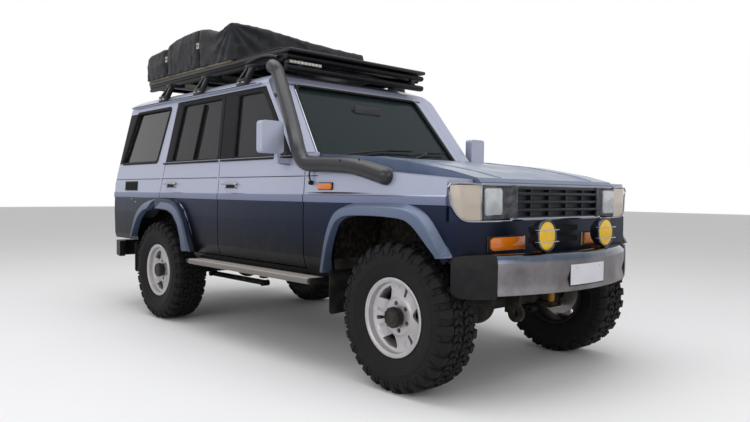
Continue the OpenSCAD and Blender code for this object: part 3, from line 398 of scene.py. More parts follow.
# %% Glass
def window(name, tint, share, body=(0.02, 0.02, 0.024), side_share=None):
    """Thin glass. With side_share, panes beyond 0.7 m from the middle are darker and hold back more light."""
    f = Finish(name)
    clear = f.node("ShaderNodeBsdfTransparent", {}, {0: tint})
    edge = f.node("ShaderNodeFresnel", {}, {0: 1.5})
    colour = body
    if side_share:
        sideways = f.rise(abs(f.xyz()[2]), 0.7, 0.72)
        share, colour = share + (side_share - share) * sideways, f.mix(sideways, body, (0.016, 0.015, 0.018))
    f.set(colour=colour, rough=0.03, gloss=0.5, coat=0.5, coat_rough=0.02)
    surface = Sock(f, f.bsdf.outputs[0])
    blend = f.node("ShaderNodeMixShader", {}, {0: share + edge * (1 - share), 1: clear, 2: surface})
    f.tree.links.new(blend.out, f.tree.nodes["Material Output"].inputs[0])
    return f.material

M["side_glass"] = window("tinted_glass", (0.3, 0.3, 0.33, 1), 0.3, (0.055, 0.053, 0.062))
M["screen_glass"] = window("windscreen_glass", (0.66, 0.76, 0.74, 1), 0.16, (0.05, 0.07, 0.08), 0.7)
M["clear_lens"] = window("clear_lens", (0.9, 0.92, 0.95, 1), 0.15)
f = Finish("frosted_lens")
here, x, y, z = f.xyz()
flutes = f.wave(here, "Z", 60.0)
M["frosted"] = f.set(colour=f.mix(f.noise(14, 5, here), rgb(196, 184, 170), rgb(172, 158, 146)), rough=0.32,
    coat=0.8, coat_rough=0.12, normal=f.bump(flutes, 0.001))
f = Finish("headlamp_lens")
here, x, y, z = f.xyz()
flutes = f.wave(here, "Y", 34.0)
M["head_lens"] = f.set(colour=f.mix(f.noise(22, 5, here), rgb(140, 146, 152), rgb(205, 208, 210)), rough=0.18,
    metal=0.25, coat=1.0, coat_rough=0.04, normal=f.bump(flutes, 0.002))
f = Finish("yellow_lens")
here, x, y, z = f.xyz()
flutes = f.wave(here, "Y", 30.0)
M["yellow_lens"] = f.set(colour=f.mix(f.noise(16, 4, here), rgb(206, 156, 0), rgb(238, 196, 4)), rough=0.2,
    coat=0.45, coat_rough=0.06, gloss=0.25, glow=(1.0, 0.62, 0.0), glow_power=0.04,
    normal=f.bump(flutes, 0.0015))
print("glass and lenses ready")

# %% Finish of each CAD piece
def four(kind):
    """The names of one kind of piece at all four corners."""
    return " ".join(f"{e}_{d}_{kind}" for e in ("front", "rear") for d in ("right", "left"))

wear = {"body": "body_sides front_wings roof_panel back_door_wide back_door_narrow valance",
    "door": four("door"), "bonnet": "bonnet", "flare": "flares", "chassis": "chassis_frame suspension",
    "driveline": "powertrain front_axle rear_axle right_knuckle left_knuckle", "exhaust": "exhaust",
    "satin_black": "fuel_tank tent_base", "floor_metal": "floor_pan bulkhead", "liner": "inner_wings",
    "alloy": four("rim"), "rubber": four("tyre") + " spare_wheel",
    "side_glass": four("glass") + " back_glass_wide back_glass_narrow", "screen_glass": "fixed_glass",
    "grille": "grille", "frosted": "front_lamps", "yellow_lens": "driving_lamps", "red": "tail_lamps",
    "bumper": "front_bumper", "black_plastic": "bumper_ends rear_bumper steering_wheel", "flap": "mudflaps",
    "step": "side_steps", "cloth": "seats", "trim": "dashboard", "snorkel": "snorkel",
    "mattress_block": "roof_rack", "canvas": "roof_tent"}
for finish, names in wear.items():
    for name in names.split():
        mesh = nodes[name].data
        mesh.materials.clear()
        mesh.materials.append(M[finish])
print(sum(len(v.split()) for v in wear.values()), "CAD pieces have a finish")

# %% [markdown]
# ## Pieces from points
# Every finer piece below is a list of points turned into a mesh: a closed strip that runs
# through stations, a tube along a path, a slab from an outline, or a shape turned on an axis.
# Each rides on the CAD body that it is bolted to, so it follows the joints.

# %% Mesh makers
def piece(name, verts, faces, finish, body="root", smooth=30):
    mesh = bpy.data.meshes.new(name)
    mesh.from_pydata([tuple(v) for v in verts], [], faces)
    mesh.materials.append(M[finish])
    bm = bmesh.new()
    bm.from_mesh(mesh)
    bmesh.ops.recalc_face_normals(bm, faces=bm.faces)
    bm.to_mesh(mesh)
    bm.free()
    o = linked(bpy.data.objects.new(name, mesh))
    if smooth:
        mesh.shade_smooth()
        mesh.set_sharp_from_angle(angle=math.radians(smooth))
    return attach(o, body)

def rings(loops, closed=False):
    """Faces that join loops of equal length, with both ends capped unless the row is closed."""
    n, faces = len(loops[0]), []
    for a in range(len(loops) - (0 if closed else 1)):
        b = (a + 1) % len(loops)
        faces += [(a * n + i, a * n + (i + 1) % n, b * n + (i + 1) % n, b * n + i) for i in range(n)]
    if not closed:
        faces += [tuple(range(n)), tuple(reversed(range(len(loops) * n - n, len(loops) * n)))]
    return [v for loop in loops for v in loop], faces

def along(path, section, up=(0, 0, 1), closed=False, scale=None):
    """Loops of a section (sideways, upwards) carried along a path."""
    path = [Vector(p) for p in path]
    loops = []
    for i, p in enumerate(path):
        a = path[i - 1] if i or closed else p
        b = path[(i + 1) % len(path)] if i < len(path) - 1 or closed else p
        ahead = (b - a).normalized()
        side = ahead.cross(Vector(up))
        side = side.normalized() if side.length > 1e-6 else Vector((0, 1, 0))
        top = side.cross(ahead)
        k = scale[i] if scale else 1
        loops.append([p + side * (u * k) + top * (v * k) for u, v in section])
    return loops

def round_section(r, n=10, flat=1.0):
    return [(r * math.cos(2 * math.pi * i / n), r * flat * math.sin(2 * math.pi * i / n)) for i in range(n)]

def tube(name, path, r, finish, body="root", closed=False, n=10, up=(0, 0, 1), flat=1.0):
    return piece(name, *rings(along(path, round_section(r, n, flat), up, closed), closed), finish, body)

def bevelled(o, width):
    """Rounds the edges of a piece for good, so each edge catches a line of light."""
    m = o.modifiers.new("edge", "BEVEL")
    m.width, m.segments, m.limit_method, m.angle_limit = width, 2, "ANGLE", math.radians(35)
    return applied(o)

def applied(o):
    done = bpy.data.meshes.new_from_object(o.evaluated_get(bpy.context.evaluated_depsgraph_get()))
    o.modifiers.clear()
    o.data = done
    done.shade_smooth()
    done.set_sharp_from_angle(angle=math.radians(32))
    return o

def slab(name, outline, push, finish, body="root", edge=0.0):
    """A flat outline given depth by the vector push, with rounded edges."""
    push = Vector(push)
    o = piece(name, *rings([[Vector(p) for p in outline], [Vector(p) + push for p in outline]]), finish, body)
    return bevelled(o, edge) if edge else o

def brick(name, low, high, finish, body="root", edge=0.003):
    (x0, y0, z0), (x1, y1, z1) = low, high
    base = [(x0, y0, z0), (x1, y0, z0), (x1, y1, z0), (x0, y1, z0)]
    return slab(name, base, (0, 0, z1 - z0), finish, body, edge)

def turned(name, profile, finish, place, body="root", n=48, axis="Y", flip=1, smooth=30):
    """A profile of (radius, along the axis) turned about an axis through place."""
    place_at = {"X": lambda u, v, a: (a, u, v), "Y": lambda u, v, a: (u, a, v),
                "Z": lambda u, v, a: (u, v, a)}[axis]
    loops = []
    for i in range(n):
        c, s = math.cos(2 * math.pi * i / n), math.sin(2 * math.pi * i / n)
        loops.append([place_at(r * c, r * s, flip * a) for r, a in profile])
    verts, faces = rings(loops, closed=True)
    return piece(name, [Vector(v) + Vector(place) for v in verts], faces, finish, body, smooth)

def bolt(name, finish, place, r, h, axis="Y", flip=1):
    """A bolt head: r at its foot, slightly narrower on top."""
    return turned(name, [(0.0, h), (r - 0.002, h), (r, 0.0), (0.0, 0.0)], finish, place, "root", 6, axis, flip)

def smooth_path(points, steps=6):
    """A flowing curve through points (Catmull-Rom)."""
    p = [Vector(q) for q in points]
    last, out = len(p) - 1, []
    for i in range(last):
        a, b, c, d = (p[min(max(i + k, 0), last)] for k in (-1, 0, 1, 2))
        for s in range(steps):
            t = s / steps
            out.append(0.5 * ((2 * b) + (c - a) * t + (2 * a - 5 * b + 4 * c - d) * t * t
                + (3 * b - a - 3 * c + d) * t ** 3))
    return out + [p[-1]]

def table(rows, at):
    """A value read between the rows of a table."""
    for (a, u), (b, v) in zip(rows, rows[1:]):
        if a <= at <= b:
            return u + (v - u) * (at - a) / (b - a)
    return rows[0][1] if at < rows[0][0] else rows[-1][1]

SIDE = [(0.538, 0.806), (0.56, 0.818), (0.652, 0.844), (0.85, 0.85), (0.969, 0.848), (0.975, 0.854),
        (1.014, 0.853), (1.022, 0.846), (1.127, 0.839), (1.243, 0.83), (1.716, 0.784), (1.742, 0.78)]
def skin(z):
    """Half width of the body at a height."""
    return table(SIDE, z)
# Front axle, rear axle and tail along x, then the wheels' centre height and half track
FA, RA, TAIL = 1.655, -1.075, -1.96
WHEEL_Z, WHEEL_Y = 0.39, 0.736
SIDES = (("right", -1), ("left", 1))
ENDS = (("front", FA), ("rear", RA))
print("body half width at the belt:", skin(1.243))

# %% [markdown]
# ## Tyres
# Mud tyres have deep separate blocks: big lugs that wrap over the shoulder onto the
# sidewall, and two rows of slanted blocks in the middle. The casing is turned from its
# section and each block is a short strip that follows the crown, with sides that slope.

# %% Tyre casing and tread blocks
CROWN = [(0.39, 0.0), (0.39, 0.03), (0.39, 0.06), (0.3895, 0.085), (0.386, 0.107), (0.368, 0.1255),
    (0.345, 0.1318), (0.322, 0.1332)]
GROOVE = [(0.377, 0.0), (0.377, 0.03), (0.377, 0.06), (0.376, 0.082), (0.372, 0.101), (0.358, 0.117),
    (0.34, 0.1255), (0.32, 0.129)]

def at(profile, t):
    i = min(int(t), len(profile) - 2)
    (a, b), (c, d) = profile[i], profile[i + 1]
    return a + (c - a) * (t - i), b + (d - b) * (t - i)

def lug(verts, faces, side, stations, pitch, turn):
    """One block: stations are (place over the crown, start, end), in shares of a pitch."""
    start = len(verts)
    chamfer = 0.05
    for t, u0, u1 in stations:
        (ro, wo), (ri, wi) = at(CROWN, t), at(GROOVE, t)
        for r, w, u in ((ri, wi, u0), (ro, wo, u0 + chamfer), (ro, wo, u1 - chamfer), (ri, wi, u1)):
            a = turn + u * pitch
            verts.append((r * math.cos(a), side * w, r * math.sin(a)))
    n = len(stations)
    for k in range(n - 1):
        a, b = start + 4 * k, start + 4 * k + 4
        faces += [(a, a + 1, b + 1, b), (a + 1, a + 2, b + 2, b + 1), (a + 2, a + 3, b + 3, b + 2)]
    faces += [(start, start + 3, start + 2, start + 1), tuple(start + 4 * (n - 1) + i for i in range(4))]

PITCHES, CASING_STEPS = 30, 96
SHOULDER_LUG = [(2.55, 0.1, 0.66), (3.0, 0.06, 0.68), (4.0, 0.03, 0.66), (4.8, 0.04, 0.64), (5.4, 0.06, 0.62)]
LONG_END, SHORT_END = [(6.0, 0.08, 0.6), (6.8, 0.14, 0.5)], [(5.9, 0.08, 0.58)]
OTHER_LUGS = [
    [(5.6, 0.7, 0.93), (6.2, 0.7, 0.93), (6.9, 0.66, 0.93)],
    [(0.18, 0.02, 0.36), (0.7, 0.12, 0.5), (1.2, 0.26, 0.62)],
    [(0.3, 0.44, 0.78), (0.8, 0.58, 0.93), (1.15, 0.68, 1.0)],
    [(1.38, 0.22, 0.6), (1.9, 0.12, 0.52), (2.3, 0.02, 0.44)],
    [(1.36, 0.68, 1.04), (1.9, 0.62, 0.98), (2.25, 0.54, 0.86)]]

def tyre_mesh():
    half = [(0.1908, 0.1037), (0.2085, 0.1037), (0.217, 0.109), (0.226, 0.114), (0.25, 0.1225), (0.272, 0.1275),
        (0.2745, 0.13), (0.296, 0.1325), (0.2985, 0.13), (0.32, 0.129), (0.34, 0.1255), (0.358, 0.117),
        (0.372, 0.101), (0.376, 0.082), (0.377, 0.03)]
    ring = half + [(r, -w) for r, w in reversed(half)]
    angles = [2 * math.pi * i / CASING_STEPS for i in range(CASING_STEPS)]
    verts, faces = rings([[(r * math.cos(a), w, r * math.sin(a)) for r, w in ring] for a in angles], True)
    pitch = 2 * math.pi / PITCHES
    for i in range(PITCHES):
        for side in (-1, 1):
            turn = (i + (0.5 if side > 0 else 0)) * pitch
            ending = LONG_END if i % 2 else SHORT_END
            for stations in [SHOULDER_LUG + ending] + OTHER_LUGS:
                lug(verts, faces, side, stations, pitch, turn)
    return verts, faces

tyre_verts, tyre_faces = tyre_mesh()
first = None
for e, x in ENDS:
    for d, s in SIDES:
        name, body = f"{e}_{d}_tyre_tread", f"{e}_{d}_wheel"
        if first is None:
            o = first = piece(name, tyre_verts, tyre_faces, "rubber", body, 28)
        else:
            o = linked(bpy.data.objects.new(name, first.data))
        o.parent = None
        turned_by = Matrix.Rotation(math.pi / 2 if x > 0 else 0, 4, "Y")
        o.matrix_world = Matrix.Translation((x, s * WHEEL_Y, WHEEL_Z)) @ turned_by
        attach(o, body)
        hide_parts(f"{e}_{d}_tyre")
print("one tyre has", len(first.data.polygons), "faces")

# %% [markdown]
# ## Rims
# A cast rim is a turned barrel with a face of spokes: three wide windows and three narrow
# slots, six deep stud holes and a black locking hub. The windows are cut from the turned
# face with a Boolean, which suits holes with clean edges.

# %% Rim face cut once, used on all wheels
def prism(outline, y0, y1):
    return rings([[(x, y0, z) for x, z in outline], [(x, y1, z) for x, z in outline]])

def polar(r, a):
    return r * math.cos(a), r * math.sin(a)

def rounded(points, r, n=4):
    """An outline with its corners rounded."""
    out, count = [], len(points)
    for i in range(count):
        p, a, b = (Vector(points[j % count]) for j in (i, i - 1, i + 1))
        u, v = (a - p), (b - p)
        k = min(r, u.length * 0.45, v.length * 0.45)
        p0, p1 = p + u.normalized() * k, p + v.normalized() * k
        out += [tuple((p0 * (1 - t) + p * t) * (1 - t) + (p * (1 - t) + p1 * t) * t)
            for t in [j / n for j in range(n + 1)]]
    return out

face = turned("rim_face", [(0.048, 0.046), (0.048, 0.07), (0.094, 0.07), (0.1, 0.064), (0.112, 0.06),
    (0.15, 0.06), (0.17, 0.072), (0.183, 0.078), (0.183, 0.04), (0.165, 0.04), (0.11, 0.042)], "alloy",
    (0, 0, 0), n=96)
def widening(r_w, middle):
    """A radial shape about an angle, from (radius, half width) corners."""
    return [polar(math.hypot(r, w), middle + math.atan2(w, r)) for r, w in r_w]

STUDS = [polar(0.07, math.radians(84 + 60 * k)) for k in range(6)]
cutters = []
for k in range(3):
    mid, slot_mid = math.radians(114 + 120 * k), math.radians(174 + 120 * k)
    opening = [polar(0.106, mid - 0.1), polar(0.168, mid - 0.36), polar(0.168, mid), polar(0.168, mid + 0.36),
        polar(0.106, mid + 0.1)]
    cutters.append((rounded(opening, 0.01), -0.1, 0.2))
    slot = widening(((0.112, -0.0075), (0.162, -0.011), (0.162, 0.011), (0.112, 0.0075)), slot_mid)
    cutters.append((rounded(slot, 0.005), -0.1, 0.2))
for cx, cz in STUDS:
    hole = [(cx + u, cz + w) for u, w in round_section(0.0135, 20)]
    cutters.append((hole, 0.056, 0.2))
for k in range(6):
    a0 = math.radians(174 + 60 * (k // 2) * 2 + (17 if k % 2 else -17))
    corner = widening(((0.138, -0.009), (0.156, -0.01), (0.156, 0.01), (0.138, 0.009)), a0)
    cutters.append((rounded(corner, 0.003), 0.0585, 0.2))
verts, faces = [], []
for outline, y0, y1 in cutters:
    v, f = prism(outline, y0, y1)
    faces += [tuple(i + len(verts) for i in q) for q in f]
    verts += v
knife = piece("knife", verts, faces, "alloy", smooth=0)
cut = face.modifiers.new("cut", "BOOLEAN")
cut.object, cut.operation, cut.solver = knife, "DIFFERENCE", "EXACT"
applied(face)
bevelled(face, 0.0018)
bpy.data.objects.remove(knife)
print("rim face:", len(face.data.polygons), "faces")

# %% Barrel, hub, studs and brake disc join the face
def joined(name, parts):
    """Several pieces made one, each part keeping its finish."""
    verts, faces, finishes, slots = [], [], [], []
    for o in parts:
        mesh, base = o.data, len(verts)
        verts += [o.matrix_world @ v.co for v in mesh.vertices]
        for p in mesh.polygons:
            m = mesh.materials[p.material_index]
            if m not in slots:
                slots.append(m)
            faces.append(tuple(base + i for i in p.vertices))
            finishes.append(slots.index(m))
        bpy.data.objects.remove(o)
    mesh = bpy.data.meshes.new(name)
    mesh.from_pydata(verts, [], faces)
    for m in slots:
        mesh.materials.append(m)
    mesh.polygons.foreach_set("material_index", finishes)
    mesh.shade_smooth()
    mesh.set_sharp_from_angle(angle=math.radians(32))
    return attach(linked(bpy.data.objects.new(name, mesh)), "root")

def rim_parts(hub=True, finish="alloy"):
    barrel = turned("barrel", [(0.1905, -0.104), (0.1905, -0.098), (0.183, -0.06), (0.175, 0.0), (0.176, 0.03),
        (0.183, 0.06), (0.1905, 0.098), (0.1905, 0.104), (0.206, 0.104), (0.2072, 0.11), (0.204, 0.112),
        (0.196, 0.111), (0.19, 0.106), (0.185, 0.104), (0.183, 0.096), (0.18, 0.074), (0.1715, 0.04),
        (0.17, 0.0), (0.178, -0.06), (0.185, -0.1), (0.195, -0.112), (0.206, -0.112), (0.2072, -0.108),
        (0.206, -0.104)], finish, (0, 0, 0), n=96)
    parts = [barrel]
    if hub:
        profile = [(0.0, 0.1195), (0.03, 0.1195), (0.033, 0.1165), (0.04, 0.1165), (0.043, 0.119),
            (0.05, 0.117), (0.053, 0.11), (0.053, 0.09), (0.05, 0.085), (0.047, 0.06), (0.047, -0.044),
            (0.0, -0.044)]
        loops = []
        for i in range(72):
            a = 2 * math.pi * i / 72
            lobe = 1 + (0.035 if math.cos(12 * a) > 0 else -0.02)
            shape = [(r * (lobe if 0.088 < w < 0.118 and r > 0.045 else 1), w) for r, w in profile]
            loops.append([(r * math.cos(a), w, r * math.sin(a)) for r, w in shape])
        parts.append(piece("lock", *rings(loops, True), "hub_black"))
        for k, (cx, cz) in enumerate(STUDS):
            parts.append(turned(f"stud_{k}", [(0.0, 0.066), (0.005, 0.066), (0.006, 0.064), (0.009, 0.062),
                (0.01, 0.052), (0.0, 0.052)], "hub_black", (cx, 0, cz), n=6, smooth=20))
        parts.append(turned("brake_disc", [(0.047, -0.03), (0.145, -0.03), (0.145, -0.0435), (0.047, -0.0435)],
            "bright_metal", (0, 0, 0), n=72))
    return parts

copy = linked(bpy.data.objects.new("rim_face_copy", face.data.copy()))
rim_first = joined("rim_master", rim_parts() + [face])
for e, x in ENDS:
    for d, s in SIDES:
        o = linked(bpy.data.objects.new(f"{e}_{d}_rim_cast", rim_first.data))
        half_turn = 0 if s > 0 else math.pi
        facing = Matrix.Rotation(half_turn, 4, "Z") @ Matrix.Rotation(half_turn + 0.05, 4, "Y")
        o.matrix_world = Matrix.Translation((x, s * WHEEL_Y, WHEEL_Z)) @ facing
        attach(o, f"{e}_{d}_wheel")
        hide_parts(f"{e}_{d}_rim")
bpy.data.objects.remove(rim_first)

# %% Spare wheel on the wide back door
low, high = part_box("spare_wheel")
centre = (low + high) / 2
copy.data.materials[0] = M["spare_alloy"]
spare_face = joined("spare_rim", [copy] + rim_parts(False, "spare_alloy"))
spare_tyre = linked(bpy.data.objects.new("spare_tyre", first.data))
for o in (spare_face, spare_tyre):
    o.parent = None
    o.matrix_world = Matrix.Translation((TAIL - 0.186, -0.19, 0.985)) @ Matrix.Rotation(math.pi / 2, 4, "Z")
    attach(o, "back_door_wide")
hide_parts("spare_wheel")
print("spare wheel centre in CAD", [round(v, 3) for v in centre])

# %% [markdown]
# ## Wheel arch flares
# The flares are pressed plastic: a rolled inner lip, a flat outer face and a top edge that
# meets the body. A section carried round the arch gives a smooth flowing shape.

# %% Flares
FRONT_IN = [(-0.517, 0.577), (-0.505, 0.64), (-0.48, 0.74), (-0.43, 0.845), (-0.38, 0.885), (-0.3, 0.904),
    (-0.1, 0.909), (0.09, 0.9), (0.165, 0.875), (0.225, 0.828), (0.285, 0.772), (0.325, 0.738), (0.336, 0.722)]
FRONT_OUT = [(-0.555, 0.578), (-0.544, 0.64), (-0.505, 0.8), (-0.455, 0.905), (-0.385, 0.955), (-0.29, 0.974),
    (-0.1, 0.979), (0.11, 0.975), (0.2, 0.95), (0.265, 0.905), (0.335, 0.822), (0.385, 0.752), (0.396, 0.728)]
REAR_IN = [(0.5, 0.58), (0.47, 0.68), (0.425, 0.775), (0.345, 0.85), (0.25, 0.88), (0.1, 0.888), (-0.06, 0.884),
    (-0.19, 0.866), (-0.3, 0.8), (-0.38, 0.7), (-0.415, 0.64)]
REAR_OUT = [(0.634, 0.588), (0.585, 0.68), (0.525, 0.8), (0.455, 0.89), (0.37, 0.945), (0.25, 0.964),
    (0.1, 0.969), (-0.06, 0.966), (-0.21, 0.936), (-0.33, 0.86), (-0.45, 0.64)]

def flare(name, x, inner, outer, s, body="root", keep=None):
    steps = 22 if keep else 5  # fine enough for a narrow seam at the door
    a = smooth_path([(x + u, 0, v) for u, v in inner], steps)
    b = smooth_path([(x + u, 0, v) for u, v in outer], steps)
    loops = []
    for p, q in zip(a, b):
        if keep and not keep(p.x, q.x):
            continue
        foot_in, foot_out = skin(p.z), skin(q.z)
        section = ((0.0, foot_in - 0.02), (0.0, 0.884), (0.02, 0.893), (0.06, 0.8965), (0.42, 0.8965),
            (0.66, 0.896), (0.76, 0.89), (0.96, foot_out + 0.006), (1.0, foot_out + 0.0005),
            (0.97, foot_out - 0.012))
        row = []
        for share, out in section:
            r = p.lerp(q, share)
            proud = 0 < share < 0.97 or out > 0.88
            row.append(Vector((r.x, s * max(out, skin(r.z) + 0.0008) if proud else s * out, r.z)))
        loops.append(row)
    return piece(name, *rings(loops), "flare", body, 24)

# Where the rear door ends along x, and the width of its seam
DOOR_END, SEAM = -1.044, 0.004
for d, s in SIDES:
    front_flare = flare(f"{d}_front_flare", FA, FRONT_IN, FRONT_OUT, s)
    flare(f"{d}_rear_flare_on_door", RA, REAR_IN, REAR_OUT, s, f"rear_{d}_door",
          lambda a, b: min(a, b) > DOOR_END + SEAM)
    flare(f"{d}_rear_flare", RA, REAR_IN, REAR_OUT, s, keep=lambda a, b: max(a, b) < DOOR_END)
    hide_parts("flares")
print("flares on both sides")

# %% [markdown]
# ## Window rubbers and trims
# Each window sits in a black rubber. Its path is the outline of the glass itself, read from
# the CAD piece, so the rubber always fits. The windscreen adds a bright trim round it.

# %% Outline of a glass piece
def hull(points):
    """The outline round a cloud of flat points, anticlockwise."""
    pts = sorted(set((round(a, 5), round(b, 5)) for a, b in points))
    def bend(a, b, c):
        return (b[0] - a[0]) * (c[1] - a[1]) - (b[1] - a[1]) * (c[0] - a[0])
    def chain(seq):
        out = []
        for p in seq:
            while len(out) > 1 and bend(out[-2], out[-1], p) <= 1e-9:
                out.pop()
            out.append(p)
        return out[:-1]
    return chain(pts) + chain(reversed(pts))

def side_outline(node, s):
    # The fixed glass holds the windscreen too, so only its rear part counts here
    ahead = -0.9 if node == "fixed_glass" else 9
    pts = [v.co for v in nodes[node].data.vertices if v.co.y * s > 0.1 and v.co.x < ahead]
    return hull([(p.x, p.z) for p in pts])

def side_rubber(name, node, s, r, depth, body):
    line = rounded(side_outline(node, s), 0.03, 5)
    return tube(name, [(x, s * (skin(z) + depth), z) for x, z in line], r, "gasket", body, True, 8,
        up=(0, 1, 0))

for d, s in SIDES:
    for e, _ in ENDS:
        side_rubber(f"{e}_{d}_window_rubber", f"{e}_{d}_glass", s, 0.009, -0.01, f"{e}_{d}_door")
    side_rubber(f"{d}_quarter_rubber", "fixed_glass", s, 0.013, -0.004, "root")
    tube(f"rear_{d}_window_divider", [(-0.53, s * (skin(1.27) - 0.008), 1.262),
        (-0.43, s * (skin(1.68) - 0.008), 1.672)], 0.011, "gasket", f"rear_{d}_door", n=8, flat=0.6)
    for e, x0, x1 in (("front", -0.105, 0.8), ("rear", -1.0, -0.14)):
        brick(f"{d}_belt_strip_{e}", (x0, s * 0.838 - 0.004, 1.238), (x1, s * 0.838 + 0.004, 1.252), "gasket",
            f"{e}_{d}_door")
    tube(f"{d}_gutter_lip", [(x, s * 0.8035, 1.749) for x in (-1.68, -1.0, -0.3, 0.3)], 0.0035, "gasket", n=6)

# %% Windscreen trim and wipers
screen = [v.co for v in nodes["fixed_glass"].data.vertices if abs(v.co.y) < 0.7 and v.co.x > 0.2]
flat = hull([(p.y, p.z) for p in screen])
low_z, high_z = min(p[1] for p in flat), max(p[1] for p in flat)
def front_x(z):
    """Where the windscreen stands at a height."""
    return 0.795 - (z - 1.243) * 0.76 + 0.002

line = rounded(flat, 0.045, 6)
tube("windscreen_rubber", [(front_x(z) - 0.004, y, z) for y, z in line], 0.016, "gasket", closed=True, n=10,
    up=(0, 0, 1), flat=0.6)
wide = rounded([(y * 1.018, z + (0.012 if z > 1.5 else -0.01)) for y, z in flat], 0.05, 6)
tube("windscreen_bright_trim", [(front_x(z) + 0.002, y, z) for y, z in wide], 0.0055, "chrome", closed=True,
    n=8)
for k, (y0, y1) in enumerate(((-0.3, 0.22), (0.16, 0.58))):
    base = Vector((0.835, y0 - 0.24 if k == 0 else y0 - 0.02, 1.262))
    tip = Vector((front_x(1.335) + 0.02, (y0 + y1) / 2, 1.325))
    tube(f"wiper_arm_{k}", [base, base.lerp(tip, 0.3) + Vector((0.004, 0, 0.004)), tip], 0.006, "satin_black",
        n=6)
    tube(f"wiper_blade_{k}", [(front_x(1.3) + 0.012, y0, 1.294), (front_x(1.33) + 0.012, (y0 + y1) / 2, 1.324),
        (front_x(1.335) + 0.012, y1, 1.33)], 0.007, "gasket", n=6)
    turned(f"wiper_cap_{k}", [(0.0, 0.014), (0.012, 0.012), (0.016, 0.0), (0.0, 0.0)], "satin_black",
        (base.x, base.y, base.z - 0.004), n=16, axis="Z")
print("windscreen from", round(low_z, 3), "to", round(high_z, 3))

# %% [markdown]
# ## Handles, locks and small fittings
# Chrome pull handles sit in shallow cups, with a round lock above. The rest are the side
# repeater, the tapered stripe, the louvre behind the rear door and the aerial bracket.

# %% Side fittings
BONNET = [(0.877, 1.242), (1.155, 1.249), (1.555, 1.207), (1.875, 1.151), (2.035, 1.111)]

def on_skin(x, z, s, out=0.0):
    return Vector((x, s * (skin(z) + out), z))

def side_plate(name, outline, s, t, finish, body="root", edge=0.0015, lift=0.0):
    return slab(name, [on_skin(x, z, s, lift) for x, z in outline], (0, s * t, 0), finish, body, edge)

def box_outline(x0, z0, x1, z1, r=0.006):
    return rounded([(x0, z0), (x1, z0), (x1, z1), (x0, z1)], r)

def handle(name, x, z, s, body):
    side_plate(f"{name}_cup", box_outline(x - 0.082, z - 0.023, x + 0.082, z + 0.023, 0.01), s, 0.004, "chrome",
        body)
    # The dark plate in the cup is painted shade in the recess behind the pull
    side_plate(f"{name}_recess", box_outline(x - 0.06, z - 0.019, x + 0.05, z + 0.004, 0.008), s, 0.0012,
        "gasket", body, 0, 0.0045)
    bar = [on_skin(x - 0.078, z + 0.006, s, 0.01), on_skin(x - 0.07, z + 0.008, s, 0.022),
        on_skin(x + 0.056, z + 0.008, s, 0.022), on_skin(x + 0.076, z + 0.006, s, 0.012)]
    tube(f"{name}_pull", smooth_path(bar, 4), 0.012, "chrome", body, n=10, flat=0.55)

for d, s in SIDES:
    handle(f"front_{d}_handle", 0.055, 1.073, s, f"front_{d}_door")
    handle(f"rear_{d}_handle", -0.85, 1.078, s, f"rear_{d}_door")
    turned(f"front_{d}_lock", [(0.0, 0.004), (0.008, 0.004), (0.01, 0.0), (0.01, -0.006), (0.0, -0.006)],
        "chrome", on_skin(-0.02, 1.132, s), f"front_{d}_door", 20, "Y", s)
    side_plate(f"{d}_repeater_base", box_outline(1.028, 1.044, 1.164, 1.088, 0.006), s, 0.004, "gasket")
    side_plate(f"{d}_repeater_lens", box_outline(1.034, 1.048, 1.158, 1.084, 0.008), s, 0.012, "amber",
        edge=0.003, lift=0.003)
    side_plate(f"{d}_stripe", [(0.905, 1.0275), (1.1, 1.024), (1.3, 1.0245), (1.5, 1.0285), (1.3, 1.0325),
        (1.1, 1.033)], s, 0.0008, "gasket", edge=0, lift=0.001)
    side_plate(f"{d}_louvre_frame", box_outline(-1.732, 1.03, -1.476, 1.11, 0.005), s, 0.003, "gasket")
    # Near-black sheets in the louvre slots are painted shade
    for k in range(3):
        side_plate(f"{d}_louvre_slot_{k}", box_outline(-1.716 + k * 0.08, 1.04, -1.652 + k * 0.08, 1.1, 0.004),
            s, 0.0016, "dark_slot", edge=0, lift=0.0032)
    side_plate(f"{d}_mirror_foot", box_outline(0.66, 1.2, 0.735, 1.232, 0.008), s, 0.03, "trim",
        f"front_{d}_door", lift=0.0005)
    # A fine dark strip along the crease as its painted shade, in one length on each panel
    for panel, body, x0, x1 in (("quarter", "root", -1.925, -1.05), ("rear", f"rear_{d}_door", -1.025, -0.14),
            ("front", f"front_{d}_door", -0.11, 0.88), ("wing", "root", 0.9, 1.02)):
        side_plate(f"{d}_{panel}_crease_painted_shade", [(x0, 1.1245), (x1, 1.1245), (x1, 1.129), (x0, 1.129)], s, 0.001,
            "gasket", body, edge=0, lift=0.0006)
    # Black pillar behind the quarter glass, and two pressed creases on the bonnet
    side_plate(f"{d}_rear_pillar_black", [(-1.886, 1.262), (-1.815, 1.262), (-1.577, 1.69), (-1.735, 1.69)], s,
        0.0012, "gasket", edge=0, lift=0.0006)
    crease = [(0.93, 0.5), (1.155, 0.49), (1.35, 0.482), (1.555, 0.474), (1.72, 0.466), (1.875, 0.456),
        (2.02, 0.44)]
    tube(f"{d}_bonnet_crease", smooth_path([(x, s * y, table(BONNET, x) - 0.003) for x, y in crease], 3), 0.008,
        "bonnet", "bonnet", n=12, flat=0.8)
# Fuel flap on the left quarter
side_plate("fuel_flap", box_outline(-1.82, 1.15, -1.66, 1.24, 0.016), 1, 0.0016, "body")
for k, (x, z) in enumerate(((-1.6, 0.955), (-1.52, 0.93))):
    side_plate(f"chip_{k}", box_outline(x, z, x + 0.016, z + 0.01, 0.004), -1, 0.0005, "buckle", edge=0)
print("side fittings placed")

